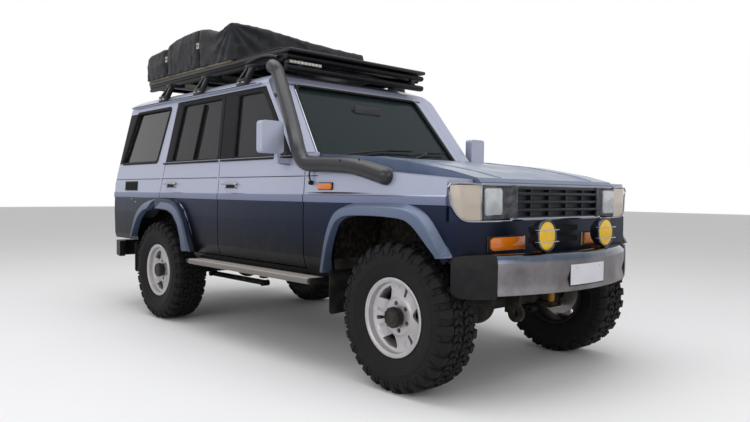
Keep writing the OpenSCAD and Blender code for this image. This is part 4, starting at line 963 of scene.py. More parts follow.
# %% [markdown]
# ## Front end
# The face is a deep grille with bright strips above and below, square headlamps in black
# surrounds, corner lamps with a slanted lower edge and amber indicators under them.

# %% Grille, headlamps and corner lamps
def face_x(y):
    """How far forward the front stands at a half width."""
    return table([(0, 2.087), (0.42, 2.087), (0.64, 2.06), (0.79, 2.048), (0.836, 2.027)], abs(y))

def face_strip(name, y0, y1, z, h, out, n=9):
    """A bright strip of height h along the front."""
    t, across = 0.01, [y0 + (y1 - y0) * i / n for i in range(n + 1)]
    section = [(-t / 2, -h / 2), (t / 2, -h / 2), (t / 2, h / 2), (-t / 2, h / 2)]
    strip = piece(name, *rings(along([(face_x(y) + out, y, z) for y in across], section)), "chrome")
    return bevelled(strip, min(h, t) * 0.3)

for k, z in enumerate((0.95, 0.992, 1.034)):
    slab(f"grille_bar_{k}", [(2.088, -0.39, z - 0.007), (2.094, -0.39, z - 0.003), (2.094, -0.39, z + 0.005),
        (2.086, -0.39, z + 0.009)], (0, 0.78, 0), "grille", "root", 0.0015)
face_strip("grille_top_chrome", -0.64, 0.64, 1.078, 0.012, -0.002)
face_strip("grille_foot_chrome", -0.44, 0.44, 0.903, 0.014, 0.001)
for d, s in SIDES:
    rim_line = [(0.642, 1.077), (0.838, 1.077), (0.838, 1.015), (0.829, 0.972), (0.796, 0.922), (0.745, 0.9),
        (0.642, 0.896), (0.43, 0.896)]
    loops = []
    for y, low in ((0.646, 0.899), (0.7, 0.9), (0.745, 0.904), (0.775, 0.914), (0.796, 0.926), (0.815, 0.95),
            (0.829, 0.975), (0.836, 1.012)):
        column = ((-0.01, low), (0.002, low), (0.0035, low + 0.004), (0.0035, 1.069), (0.002, 1.073),
                  (-0.01, 1.073))
        loops.append([(face_x(y) + dx, s * y, z) for dx, z in column])
    piece(f"{d}_corner_lens", *rings(loops), "frosted")
    cheek = [(2.066, 0.452), (2.072, 0.448), (2.0965, 0.408), (2.0965, 0.388), (2.089, 0.388), (2.066, 0.44)]
    slab(f"{d}_grille_cheek", [(x, s * y, 0.906) for x, y in cheek], (0, 0, 0.166), "lamp_shell", "root",
        0.0015)
    path = smooth_path([(face_x(y) + (0.004 if y < 0.8 else 0.006), s * y, z) for y, z in rim_line], 3)
    tube(f"{d}_lamp_chrome", path, 0.0048, "chrome", n=8)
    brick(f"{d}_lamp_divider", (2.05, s * 0.639 - 0.006, 0.902), (2.066, s * 0.639 + 0.006, 1.074), "chrome")
    shade = [(2.064, s * y, z) for y, z in rounded(
        [(0.436, 0.904), (0.632, 0.904), (0.632, 1.073), (0.436, 1.073)], 0.006)]
    slab(f"{d}_lamp_surround", shade, (0.006, 0, 0), "lamp_shell", "root", 0.002)
    lens = [(2.066, s * y, z) for y, z in rounded([(0.492, 0.925), (0.624, 0.925), (0.624, 1.058),
        (0.492, 1.058)], 0.02, 6)]
    slab(f"{d}_headlamp_rim", [(x, y + (0.004 if abs(y) > 0.55 else -0.004) * s,
        z + (0.004 if z > 1 else -0.004)) for x, y, z in lens], (0.008, 0, 0), "chrome", "root", 0.002)
    slab(f"{d}_headlamp_lens", lens, (0.014, 0, 0), "head_lens", "root", 0.005)
    inset = rounded([(0.294, 0.748), (0.56, 0.748), (0.58, 0.76), (0.58, 0.802), (0.56, 0.814), (0.294, 0.814)],
        0.008)
    amber = [(2.0675, s * y, z) for y, z in inset]
    slab(f"{d}_indicator", amber, (0.012, 0, 0), "amber", "root", 0.004)
    brick(f"{d}_indicator_seat", (2.062, s * 0.437 - 0.15, 0.7425), (2.0675, s * 0.437 + 0.15, 0.8195),
        "gasket")
# Near-black sheets behind and in the valance slots are painted shade
brick("valance_slot_back", (2.056, -0.242, 0.766), (2.059, 0.242, 0.866), "dark_slot")
for k, (y0, y1) in enumerate(((-0.235, -0.03), (0.03, 0.235))):
    for j, z in enumerate((0.772, 0.832)):
        brick(f"valance_slot_{k}_{j}", (2.0605, y0, z), (2.0625, y1, z + 0.028), "dark_slot", edge=0)
print("front lamps and grille")

# %% [markdown]
# ## Bumper, number plate and driving lamps
# The bumper is rolled steel with soft edges, bowed in plan, with moulded end caps. The
# yellow lamps have domed glass, a bright rim and two guard wires, on rusty feet.

# %% Bumper
def bumper_x(y):
    return 2.28 - 0.33 * y * y

section = [(0.0, 0.5365), (-0.003, 0.56), (-0.01, 0.6), (-0.002, 0.64), (0.0, 0.69), (-0.004, 0.712),
    (-0.014, 0.726), (-0.03, 0.7345), (-0.08, 0.7355), (-0.083, 0.722), (-0.03, 0.716), (-0.016, 0.7),
    (-0.014, 0.64), (-0.02, 0.6), (-0.014, 0.56), (-0.012, 0.5365)]
HALF, STATIONS = 0.6195, 40
across = [-HALF + 2 * HALF * i / STATIONS for i in range(STATIONS + 1)]
loops = [[Vector((bumper_x(y) + dx, y, z)) for dx, z in section] for y in across]
o = piece("bumper_bar", *rings(loops), "bumper", "root", 40)
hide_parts("front_bumper")
# Each row: half width, bottom, top and depth of an end cap
CAP_STATIONS = ((0.6205, 0.521, 0.7355, 0.074), (0.68, 0.5215, 0.7355, 0.072), (0.74, 0.524, 0.735, 0.066),
    (0.785, 0.53, 0.7335, 0.055), (0.815, 0.54, 0.73, 0.03), (0.834, 0.56, 0.722, 0.012),
    (0.84, 0.59, 0.7, 0.004))
for d, s in SIDES:
    loops = []
    for y, z0, z1, back in CAP_STATIONS:
        xf = bumper_x(y) if y < 0.8 else min(bumper_x(y), 2.074 - (y - 0.815) * 0.9)
        xb = max(xf - back, 2.0405)
        column = ((xf - 0.01, z0), (xf - 0.002, z0 + 0.016), (xf, z0 + 0.05), (xf, z1 - 0.05),
                  (xf - 0.004, z1 - 0.014), (xf - 0.016, z1), (xb, z1), (xb, z0))
        loops.append([Vector((x, s * y, z)) for x, z in column])
    o = piece(f"{d}_bumper_cap", *rings(loops), "black_plastic", "root", 50)
    if s < 0:
        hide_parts("bumper_ends")
print("bumper reaches x", round(bumper_x(0), 3))

# %% Number plate, blank
def bowed_plate(name, grow, out, thick, finish):
    """A plate that follows the bow of the bumper."""
    loops, half = [], 0.165 + grow
    for i in range(13):
        y = -half + 2 * half * i / 12
        x, z0, z1 = bumper_x(y) + out, 0.566 - grow, 0.672 + grow
        loops.append([(x, y, z0), (x + thick, y, z0), (x + thick, y, z1), (x, y, z1)])
    return bevelled(piece(name, *rings(loops), finish), 0.0006)

bowed_plate("plate_frame", 0.006, -0.004, 0.003, "black_plastic")
bowed_plate("front_plate_blank", 0.0, -0.001, 0.0008, "plate")
for k, y in enumerate((-0.11, 0.11)):
    turned(f"plate_screw_{k}", [(0.0, 0.0012), (0.004, 0.001), (0.005, 0.0), (0.0, 0.0)], "bright_metal",
        (bumper_x(y) - 0.0004, y, 0.655), "root", 16, "X")

# %% Driving lamps
for d, s in SIDES:
    c = Vector((2.177, s * 0.292, 0.822))
    shell = [(0.0, -0.043), (0.03, -0.042), (0.055, -0.034), (0.074, -0.016), (0.08, 0.01), (0.0835, 0.016),
        (0.0838, 0.03), (0.08, 0.036), (0.077, 0.034), (0.0, 0.024)]
    o = turned(f"{d}_driving_lamp_shell", shell, "satin_black", c, "root", 48, "X")
    if s < 0:
        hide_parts("driving_lamps")
    turned(f"{d}_driving_lamp_rim", [(0.0755, 0.03), (0.0795, 0.037), (0.0832, 0.034), (0.0838, 0.024),
        (0.0815, 0.022), (0.077, 0.024)], "bumper", c, "root", 48, "X")
    dome = [(0.0, 0.0445), (0.02, 0.044), (0.04, 0.0425), (0.058, 0.0395), (0.07, 0.035), (0.0765, 0.03),
        (0.0765, 0.024), (0.0, 0.024)]
    turned(f"{d}_driving_lamp_glass", dome, "yellow_lens", c, "root", 48, "X")
    for k, dz in enumerate((0.03, -0.03)):
        tube(f"{d}_guard_wire_{k}", smooth_path([c + Vector((0.02, -0.086, dz)), c + Vector((0.05, -0.08, dz)),
            c + Vector((0.056, 0, dz)), c + Vector((0.05, 0.08, dz)), c + Vector((0.02, 0.086, dz))], 4),
            0.0022, "bright_metal", n=8)
    brick(f"{d}_driving_lamp_foot", (c.x - 0.024, c.y - 0.02, 0.7365), (c.x + 0.006, c.y + 0.02, 0.752), "rust")
    brick(f"{d}_driving_lamp_base", (c.x - 0.034, c.y - 0.045, 0.7362), (c.x + 0.016, c.y + 0.045, 0.7415),
        "rust")
    bolt(f"{d}_driving_lamp_bolt", "rust", (c.x + 0.01, c.y - 0.03, 0.7415), 0.011, 0.01, "Z")
print("driving lamps placed")

# %% [markdown]
# ## Snorkel
# A snorkel is one smooth moulding: it leaves the wing's side, runs back beside the bonnet
# and turns up the windscreen pillar. A flowing curve through a few points keeps the elbows
# round, and extra rings at each end make a domed nose and an open mouth.

# %% Snorkel
SNORKEL = [(1.6, 0.85, 1.118), (1.5, 0.858, 1.145), (1.35, 0.866, 1.176), (1.15, 0.872, 1.19),
    (0.985, 0.887, 1.196), (0.92, 0.891, 1.236), (0.868, 0.88, 1.306), (0.784, 0.844, 1.4), (0.632, 0.798, 1.6),
    (0.495, 0.758, 1.776), (0.462, 0.757, 1.828), (0.412, 0.753, 1.85)]
SNORKEL_R = 0.0445
way = smooth_path([(x, -y, z) for x, y, z in SNORKEL], 6)
size = [table([(0, 1.08), (0.22, 1.04), (0.45, 0.98), (1, 1.0)], i / (len(way) - 1)) for i in range(len(way))]
body_rings = along(way, round_section(SNORKEL_R, 32), (0, 1, 0), scale=size)
nose_way = (way[0] - way[1]).normalized()
nose = [[way[0] + nose_way * (0.046 * math.sin(a)) + (Vector(p) - way[0]) * math.cos(a) for p in body_rings[0]]
    for a in (1.5, 1.3, 1.05, 0.78, 0.5, 0.25)]
mouth_way = (way[-1] - way[-2]).normalized()
LIP = ((1.0, 0.006), (0.94, 0.01), (0.88, 0.006), (0.86, -0.02), (0.6, -0.028))
mouth = [[way[-1] + (Vector(p) - way[-1]) * k + mouth_way * out for p in body_rings[-1]] for k, out in LIP]
o = piece("snorkel_moulding", *rings(nose + body_rings + mouth), "snorkel", "root", 50)
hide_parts("snorkel")
for k, x in enumerate((1.46, 1.3, 1.12)):
    bolt(f"snorkel_bolt_{k}", "satin_black", (x, -0.908, 1.205), 0.008, 0.003, flip=-1)
brick("snorkel_stay", (0.48, -0.79, 1.64), (0.56, -0.778, 1.662), "satin_black")
tube("aerial_stay", smooth_path([(0.965, -0.852, 1.168), (0.958, -0.858, 1.13), (0.972, -0.858, 1.092)], 4),
    0.005, "satin_black", n=8)
turned("aerial_foot", [(0.0, 0.026), (0.01, 0.022), (0.014, 0.01), (0.013, 0.0), (0.0, 0.0)], "gasket",
    (0.974, -0.848, 1.086), "root", 20, "Y", -1)
print("snorkel length about", round(sum((b - a).length for a, b in zip(way, way[1:])), 2), "m")

# %% [markdown]
# ## Roof rack
# Extruded alloy rails carry the tent. Each rail stands on three triangular feet, which
# clamp on the gutter. A foot is built from two legs, a clamp and a top plate, because
# legs with a gap between them give the open triangle without any cutting.

# %% Rails, bars and feet
RACK_Z, RACK_HALF, RACK_BACK, RACK_FRONT = 1.905, 0.65, -1.67, 0.44
FEET = (-1.11, -0.52, 0.1)

def beam(name, a, b, section, edge=0.002):
    return bevelled(piece(name, *rings(along([a, b], section)), "mattress_block"), edge)

rail_section = [(-0.016, 0.0), (0.016, 0.0), (0.016, 0.018), (0.011, 0.02), (0.011, 0.032), (0.016, 0.034),
    (0.016, 0.05), (0.012, 0.0545), (-0.012, 0.0545), (-0.016, 0.05)]
first_rail = None
for d, s in SIDES:
    y = s * (RACK_HALF - 0.016)
    flat = [(u * -s, v) for u, v in rail_section]
    o = beam(f"{d}_rack_rail", (RACK_BACK, y, RACK_Z), (RACK_FRONT - 0.06, y, RACK_Z), flat, 0.0015)
    first_rail = first_rail or o
    for n, x in enumerate(FEET):
        low_y, top_y = s * 0.8, s * 0.738
        for k, (b0, b1, t0, t1) in enumerate(((-0.062, -0.036, -0.034, -0.006), (0.036, 0.062, 0.004, 0.034))):
            outline = [(x + b0, low_y, 1.782), (x + b1, low_y, 1.782), (x + t1, top_y, 1.892),
                (x + t0, top_y, 1.892)]
            slab(f"{d}_foot_{n}_leg_{k}", outline, (0, -s * 0.04, -0.004), "satin_black", "root", 0.004)
        brick(f"{d}_foot_{n}_sole", (x - 0.058, s * 0.778 - 0.022, 1.778), (x + 0.058, s * 0.778 + 0.022, 1.8),
            "satin_black", edge=0.005)
        brick(f"{d}_foot_{n}_head", (x - 0.038, s * 0.69 - 0.056, 1.88), (x + 0.038, s * 0.69 + 0.056, 1.904),
            "satin_black", edge=0.005)
        slab(f"{d}_foot_{n}_clamp", [(x - 0.06, s * 0.8015, 1.7518), (x - 0.06, s * 0.8015, 1.768),
            (x - 0.054, s * 0.796, 1.789), (x - 0.054, s * 0.77, 1.796), (x - 0.06, s * 0.772, 1.77),
            (x - 0.06, s * 0.786, 1.7518)], (0.12, 0, 0), "satin_black", "root", 0.004)
        brick(f"{d}_foot_{n}_plate", (x - 0.04, s * 0.634 - 0.018, 1.886), (x + 0.04, s * 0.634 + 0.018, 1.905),
            "satin_black")
        for k, dx in enumerate((-0.03, 0.03)):
            bolt(f"{d}_foot_{n}_bolt_{k}", "bright_metal", (x + dx, s * 0.8005, 1.772), 0.008, 0.008, flip=s)
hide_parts("roof_rack")
bar_section = [(-0.02, 0.02), (0.02, 0.02), (0.02, 0.046), (0.014, 0.05), (-0.014, 0.05), (-0.02, 0.046)]
for n, x in enumerate(FEET + (RACK_FRONT - 0.1, RACK_BACK + 0.02)):
    beam(f"rack_bar_{n}", (x, -0.617, RACK_Z), (x, 0.617, RACK_Z), bar_section)

def nosed(x0, x1, z0, z1):
    """Outline of a plate with a rounded front edge."""
    r, zc = (z1 - z0) / 2, (z0 + z1) / 2
    angles = [math.radians(-90 + 22.5 * i) for i in range(9)]
    return [(x0, z0)] + [(x1 - r + r * math.cos(a), zc + r * math.sin(a)) for a in angles] + [(x0, z1)]

def plate_across(name, x0, x1, y0, y1, z0, z1, finish, edge=0.003):
    return slab(name, [(x, y0, z) for x, z in nosed(x0, x1, z0, z1)], (0, y1 - y0, 0), finish, edge=edge)

plate_across("rack_front_plate", RACK_FRONT - 0.06, RACK_FRONT, -RACK_HALF, RACK_HALF, 1.915, 1.953,
    "mattress_block")
plate_across("rack_front_bar", RACK_FRONT - 0.045, RACK_FRONT, -RACK_HALF, RACK_HALF, 1.838, 1.88,
    "mattress_block")
for d, s in SIDES:
    brick(f"{d}_front_bar_stay", (RACK_FRONT - 0.038, s * 0.54 - 0.02, 1.876),
        (RACK_FRONT - 0.008, s * 0.54 + 0.02, 1.918), "satin_black")
    tube(f"{d}_front_hoop", smooth_path([(-0.06, s * 0.657, 1.945), (0.12, s * 0.66, 1.962),
        (0.25, s * 0.658, 1.9535), (0.33, s * 0.656, 1.936)], 6), 0.011, "satin_black", n=12)
# Work light bar: a black housing with a row of small frosted lenses
brick("light_bar_housing", (RACK_FRONT - 0.058, -0.64, 1.884), (RACK_FRONT - 0.006, -0.36, 1.912),
    "satin_black")
for k in range(9):
    brick(f"light_bar_lens_{k}", (RACK_FRONT - 0.008, -0.632 + 0.03 * k, 1.889),
        (RACK_FRONT - 0.004, -0.606 + 0.03 * k, 1.907), "led", edge=0.001)
print("rack with", 2 * len(FEET), "feet")

# %% [markdown]
# ## Roof tent
# The folded tent lies on a flat base under a coated fabric cover. The cover is one closed
# shell, fine enough for folds: it bulges where the bedding pushes, pinches under the two
# straps and creases towards its corners. The moves are worked out point by point, because
# a cover that is pulled tight over a stiff pack hardly hangs, so there is little to simulate.

# %% Tent base and its front plate
o = plate_across("tent_base_plate", -1.69, 0.46, -0.65, 0.65, 1.9603, 1.988, "satin_black", 0.006)
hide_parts("tent_base")
plate_across("tent_base_step", -0.27, 0.32, -0.63, 0.39, 1.9885, 2.011, "mattress_block", 0.005)
for k in range(5):
    brick(f"tent_base_rib_{k}", (-0.25 + 0.11 * k, -0.6, 2.0112), (-0.238 + 0.11 * k, 0.36, 2.0125),
        "satin_black", edge=0)
slab("tent_mattress_edge", [(-1.686, -0.651, 1.9885), (-0.29, -0.651, 1.9885), (-0.29, 0.651, 1.9885),
    (-1.686, 0.651, 1.9885)], (0, 0, 0.016), "beige_strip", "root", 0.005)

# %% The fabric cover
TENT_LOW, TENT_A, TENT_B, TENT_W = 2.002, -1.696, -0.288, 0.65
STRAPS = (-1.335, -0.775)
TOP_NEAR = [(-1.7, 2.205), (-1.62, 2.226), (-1.36, 2.24), (-1.27, 2.262), (-1.17, 2.292), (-0.98, 2.305),
    (-0.78, 2.311), (-0.66, 2.292), (-0.57, 2.262), (-0.5, 2.24), (-0.4, 2.254), (-0.32, 2.278), (-0.28, 2.284)]
TOP_FAR = [(-1.7, 2.19), (-1.5, 2.225), (-1.1, 2.24), (-0.7, 2.24), (-0.4, 2.236), (-0.28, 2.23)]

def tent_top(x, y):
    far = min(max((y + 0.6) / 1.1, 0), 1)
    far = far * far * (3 - 2 * far)
    return table(TOP_NEAR, x) * (1 - far) + table(TOP_FAR, x) * far

def crease(p, scale, seed):
    """A sharp-backed ripple, 0 to 1."""
    return (1 - abs(noise.noise(Vector((p[0] * scale[0] + seed, p[1] * scale[1], p[2] * scale[2]))))) ** 6

def cover_point(u, v, w):
    """A place on the cover from shares of its length, width and height."""
    x, y = TENT_A + (TENT_B - TENT_A) * u, -TENT_W + 2 * TENT_W * v
    top = tent_top(x, y)
    z = TENT_LOW + (top - TENT_LOW) * w
    r = 0.02
    inner = Vector((min(max(x, TENT_A + r), TENT_B - r), min(max(y, -TENT_W + r), TENT_W - r), min(z, top - r)))
    out = Vector((x, y, z)) - inner
    n = out.normalized() if out.length > 1e-6 else Vector((0, 0, -1))
    p = inner + n * r if out.length > 1e-6 else Vector((x, y, z))
    side, up = 1 - abs(n.z), max(n.z, 0)
    move = side * 0.01 * math.sin(math.pi * min(w, 1)) * (0.6 + 0.4 * noise.noise(p * 2.1))
    move += 0.009 * crease(p, (4.2, 4.2, 1.6), 3.1) * side + 0.006 * crease(p, (2.0, 7.0, 5.0), 9.4)
    move += 0.0045 * crease((p.x + 0.7 * p.z, p.y + 0.5 * p.z, p.z), (9, 8, 5), 21.0) * side
    move += up * 0.016 * noise.noise(Vector((p.x * 2.2, p.y * 2.2, 4)))
    hem = max(0, 1 - w * 4.5)
    move += side * hem * 0.0045 * math.sin((p.x + p.y) * 61 + 3 * noise.noise(p * 3))
    # Pull lines from the near front corner
    a = math.atan2(top - p.z, abs(p.x - TENT_B) + abs(p.y + TENT_W) + 0.02)
    d = (Vector((TENT_B, -TENT_W, top)) - p).length
    move += 0.007 * math.sin(a * 15) * math.exp(-((d - 0.2) / 0.17) ** 2) * side
    for x0 in STRAPS:
        gap = abs(p.x - x0)
        move -= 0.019 * math.exp(-(gap / 0.03) ** 2) * (0.35 + 0.65 * side)
        move += 0.0055 * math.exp(-((gap - 0.075) / 0.04) ** 2) * (0.5 + 0.5 * math.sin(p.z * 58 + x0 * 20))
    # Stitched patch at the near front corner
    if w < 0.42 and ((x > -0.425 and y < -TENT_W + 0.05) or (y < -0.555 and x > TENT_B - 0.05)):
        move += 0.0035
    return p + n * move, n

def cover_shell():
    nx, ny, nz = 150, 110, 34
    bm = bmesh.new()
    def sheet(f, a, b):
        grid = [[bm.verts.new(f(i / a, j / b)) for j in range(b + 1)] for i in range(a + 1)]
        for i in range(a):
            for j in range(b):
                bm.faces.new((grid[i][j], grid[i + 1][j], grid[i + 1][j + 1], grid[i][j + 1]))
    sheet(lambda u, v: cover_point(u, v, 1)[0], nx, ny)
    sheet(lambda u, v: cover_point(u, v, 0)[0], nx, ny)
    for edge in (0, 1):
        sheet(lambda u, w: cover_point(u, edge, w)[0], nx, nz)
        sheet(lambda v, w: cover_point(edge, v, w)[0], ny, nz)
    bmesh.ops.remove_doubles(bm, verts=bm.verts, dist=1e-5)
    mesh = bpy.data.meshes.new("tent_cover")
    bmesh.ops.recalc_face_normals(bm, faces=bm.faces)
    bm.to_mesh(mesh)
    bm.free()
    mesh.shade_smooth()
    mesh.materials.append(M["canvas"])
    return mesh

cover = linked(bpy.data.objects.new("tent_cover", cover_shell()))
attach(cover, "root")
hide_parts("roof_tent")
print("tent cover:", len(cover.data.polygons), "faces")

# %% Straps, buckles and seams of the cover
def over_cover(x, lift):
    """A line over the cover at one place along it, from the near hem to the far hem."""
    u, steps = (x - TENT_A) / (TENT_B - TENT_A), 30
    stops = [(0, w / steps) for w in range(steps)]
    stops += [(v / (2 * steps), 1) for v in range(2 * steps + 1)]
    stops += [(1, 1 - w / steps) for w in range(1, steps + 1)]
    return [(p + n * lift, n) for p, n in (cover_point(u, v, w) for v, w in stops)]

def webbing(name, x, width, lift):
    loops, half = [], Vector((width / 2, 0, 0))
    for p, n in over_cover(x, lift):
        loops.append([p - half - n * 0.0016, p + half - n * 0.0016, p + half, p - half])
    return piece(name, *rings(loops), "strap", "root", 40)

for k, (x, zb) in enumerate(zip(STRAPS, (2.15, 2.178))):
    webbing(f"tent_strap_{k}", x, 0.026, 0.0035)
    webbing(f"tent_seam_{k}", x - 0.11 if k else x + 0.115, 0.006, 0.0012)
    line = over_cover(x, 0.008)
    p = min((q for q, n in line if q.y < 0), key=lambda q: abs(q.z - zb))
    brick(f"tent_buckle_{k}", (p.x - 0.019, p.y - 0.005, p.z - 0.026), (p.x + 0.019, p.y + 0.006, p.z + 0.022),
        "buckle", edge=0.004)
    brick(f"tent_buckle_bar_{k}", (p.x - 0.013, p.y - 0.008, p.z - 0.004),
        (p.x + 0.013, p.y - 0.004, p.z + 0.004), "satin_black", edge=0.001)
    slab(f"tent_strap_tail_{k}", [(p.x - 0.01, p.y - 0.004, p.z - 0.026),
        (p.x + 0.014, p.y - 0.005, p.z - 0.026), (p.x + 0.024, p.y - 0.012, p.z - 0.108),
        (p.x + 0.001, p.y - 0.012, p.z - 0.112)], (0, 0.0016, 0), "strap", "root", 0)
print("straps over the cover:", len(STRAPS))

# %% [markdown]
# ## Side steps and running gear
# The steps are ribbed alloy extrusions with dark end caps. Coil springs are a wire wound
# on a helix, the dampers are turned, and each arm is a plain tube with eyes.

# %% Side steps
STEP_A, STEP_B, CAP_LENGTH = -0.455, 1.055, 0.031
STEP_CAP = ((0.77, 0.5), (0.908, 0.5), (0.918, 0.508), (0.918, 0.53), (0.908, 0.536), (0.77, 0.536))
for d, s in SIDES:
    top = []
    for k in range(7):
        y0 = 0.782 + k * 0.0185
        top += [(y0, 0.5325), (y0 + 0.003, 0.5358), (y0 + 0.01, 0.5358), (y0 + 0.013, 0.5325)]
    under = [(0.7705, 0.5015), (0.906, 0.5002), (0.9165, 0.5065), (0.9175, 0.526), (0.912, 0.534)]
    section = under + list(reversed(top)) + [(0.7705, 0.5325)]
    loops = [[(x, s * y, z) for y, z in section] for x in (STEP_A + 0.03, STEP_B - 0.03)]
    o = piece(f"{d}_step_board", *rings(loops), "step", "root", 20)
    if s < 0:
        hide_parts("side_steps")
    for end, x0 in (("rear", STEP_A), ("front", STEP_B - CAP_LENGTH)):
        slab(f"{d}_step_cap_{end}", [(x0, s * y, z) for y, z in STEP_CAP], (CAP_LENGTH, 0, 0), "gasket", "root",
            0.004)
    for k, x in enumerate((-0.315, 0.29, 0.895)):
        slab(f"{d}_step_stay_{k}", [(x - 0.02, s * 0.3855, 0.53), (x - 0.02, s * 0.3855, 0.512),
            (x - 0.02, s * 0.78, 0.506), (x - 0.02, s * 0.78, 0.524)], (0.04, 0, 0), "chassis", "root",
            0.003)
print("steps", round(STEP_B - STEP_A, 3), "m long")

# %% Springs, dampers and arms
def coil(name, x, y, z0, z1):
    r, wire, steps, turns = 0.052, 0.0075, 16, 4
    n, path = turns * steps, []
    for i in range(n + 1):
        a = i * 2 * math.pi / steps
        path.append((x + r * math.cos(a), y + r * math.sin(a), z0 + wire + (z1 - z0 - 2 * wire) * i / n))
    return tube(name, path, wire, "yellow", n=8)

def damper(name, x, y, z0, z1):
    mid = z0 + (z1 - z0) * 0.55
    profile = [(0.0, z0), (0.016, z0), (0.02, z0 + 0.01), (0.0215, z0 + 0.03), (0.0215, mid),
        (0.018, mid + 0.006), (0.009, mid + 0.008), (0.009, z1 - 0.05), (0.021, z1 - 0.045),
        (0.021, z1 - 0.012), (0.012, z1), (0.0, z1)]
    return turned(name, profile, "yellow", (x, y, 0), "root", 28, "Z")

ARM_Y, ARM_Z, DAMPER_Y, SPRING_Y, SPRING_TOP = 0.32, 0.3217, 0.425, 0.35, 0.5097
lead = None
for d, s in SIDES:
    for end, x in ENDS:
        o = coil(f"{end}_{d}_spring", x, s * SPRING_Y, 0.4355, SPRING_TOP)
        lead = lead or o
        for k, z in enumerate((0.4353, SPRING_TOP - 0.004)):
            turned(f"{end}_{d}_spring_seat_{k}", [(0.0, 0.004), (0.06, 0.004), (0.06, 0.0), (0.0, 0.0)],
                "chassis", (x, s * SPRING_Y, z), "root", 32, "Z")
    for end, x, top in (("front", FA + 0.12, 0.7837), ("rear", RA - 0.11, 0.6197)):
        damper(f"{end}_{d}_damper", x, s * DAMPER_Y, 0.3603, top)
    for end, x0, x1 in (("front", FA + 0.05, FA - 0.82), ("rear", RA - 0.05, RA + 0.76)):
        a, b = ((x, s * ARM_Y, ARM_Z) for x in (x0, x1))
        tube(f"{end}_{d}_arm", [a, b], 0.0215, "chassis", n=20)
        for k, p in enumerate((a, b)):
            turned(f"{end}_{d}_arm_eye_{k}", [(0.01, -0.03), (0.0228, -0.03), (0.0228, 0.03), (0.01, 0.03)],
                "gasket", p, "root", 24, "Y")
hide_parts("suspension")
print("four springs and four dampers")

# %% [markdown]
# ## Seats and cabin
# A seat cushion is a pad under tight cloth: crowned in the middle, pulled in along its
# sides. Each pad starts as a rounded block, a short cloth run blows it up gently, and
# sewn channels are pressed in afterwards. The same pads serve both front seats.

# %% Pads
def rounded_block(size):
    """A block of a size about the origin, with round edges and an even grid."""
    r, step = 0.045, 0.02
    bm = bmesh.new()
    count = [max(2, round(a / step)) for a in size]
    for axis in range(3):
        a, b = [k for k in range(3) if k != axis]
        for end in (-0.5, 0.5):
            grid = []
            for i in range(count[a] + 1):
                row = []
                for j in range(count[b] + 1):
                    p = Vector((0, 0, 0))
                    p[axis] = end * size[axis]
                    p[a], p[b] = (i / count[a] - 0.5) * size[a], (j / count[b] - 0.5) * size[b]
                    core = Vector([min(max(p[k], r - size[k] / 2), size[k] / 2 - r) for k in range(3)])
                    row.append(bm.verts.new(core + (p - core).normalized() * r))
                grid.append(row)
            for i in range(count[a]):
                for j in range(count[b]):
                    bm.faces.new((grid[i][j], grid[i + 1][j], grid[i + 1][j + 1], grid[i][j + 1]))
    bmesh.ops.remove_doubles(bm, verts=bm.verts, dist=1e-5)
    bmesh.ops.recalc_face_normals(bm, faces=bm.faces)
    mesh = bpy.data.meshes.new("pad")
    bm.to_mesh(mesh)
    bm.free()
    return mesh

CLOTH_FRAMES = 16

def pad(name, size, swell, channels):
    """A sewn pad: size is its finished size, and channels are places across its width."""
    mesh = rounded_block([a - swell * 1.4 for a in size])
    o = linked(bpy.data.objects.new(name, mesh))
    start = [v.co.copy() for v in mesh.vertices]
    m = o.modifiers.new("cloth", "CLOTH")
    m.settings.use_pressure, m.settings.uniform_pressure_force = True, 4
    m.settings.effector_weights.gravity = 0
    m.point_cache.frame_start, m.point_cache.frame_end = 1, CLOTH_FRAMES
    for frame_number in range(1, CLOTH_FRAMES + 1):
        scene.frame_set(frame_number)
    mesh = bpy.data.meshes.new_from_object(o.evaluated_get(bpy.context.evaluated_depsgraph_get()))
    o.modifiers.clear()
    o.data = mesh
    scene.frame_set(1)
    for v, home in zip(mesh.vertices, start):
        inwards = [max(0, 1 - (2 * home[k] / size[k]) ** 2) for k in (0, 1)]
        crown = swell * 0.7 * math.prod(inwards) if home.z > 0 else 0
        go = v.co - home
        go = go.normalized() * min(go.length, swell * 0.6) if go.length > 0 else go
        p = home + go + Vector((0, 0, crown))
        for y0 in channels:
            p.z -= 0.009 * math.exp(-((p.y - y0) / 0.008) ** 2) * (1 if home.z > 0 else 0)
        v.co = p
    mesh.shade_smooth()
    mesh.materials.append(M["cloth"])
    m = o.modifiers.new("fine", "SUBSURF")
    m.levels = m.render_levels = 1
    done = bpy.data.meshes.new_from_object(o.evaluated_get(bpy.context.evaluated_depsgraph_get()))
    o.modifiers.clear()
    o.data = done
    done.shade_smooth()
    bpy.data.objects.remove(o)
    return done

cushion = pad("front_cushion", (0.5, 0.49, 0.15), 0.022, (-0.145, 0.145, -0.05, 0.05))
backrest = pad("front_back", (0.56, 0.48, 0.12), 0.02, (-0.14, 0.14, -0.047, 0.047))
headrest = pad("front_head", (0.15, 0.23, 0.08), 0.01, ())
bench_cushion = pad("bench_cushion", (0.5, 1.05, 0.15), 0.022, (-0.35, 0.0, 0.35))
bench_back = pad("bench_back", (0.56, 1.05, 0.12), 0.02, (-0.35, 0.0, 0.35))

def lay(name, mesh, place, tilt):
    o = linked(bpy.data.objects.new(name, mesh))
    o.matrix_world = Matrix.Translation(place) @ Matrix.Rotation(math.radians(tilt), 4, "Y")
    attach(o, "root")
    return o

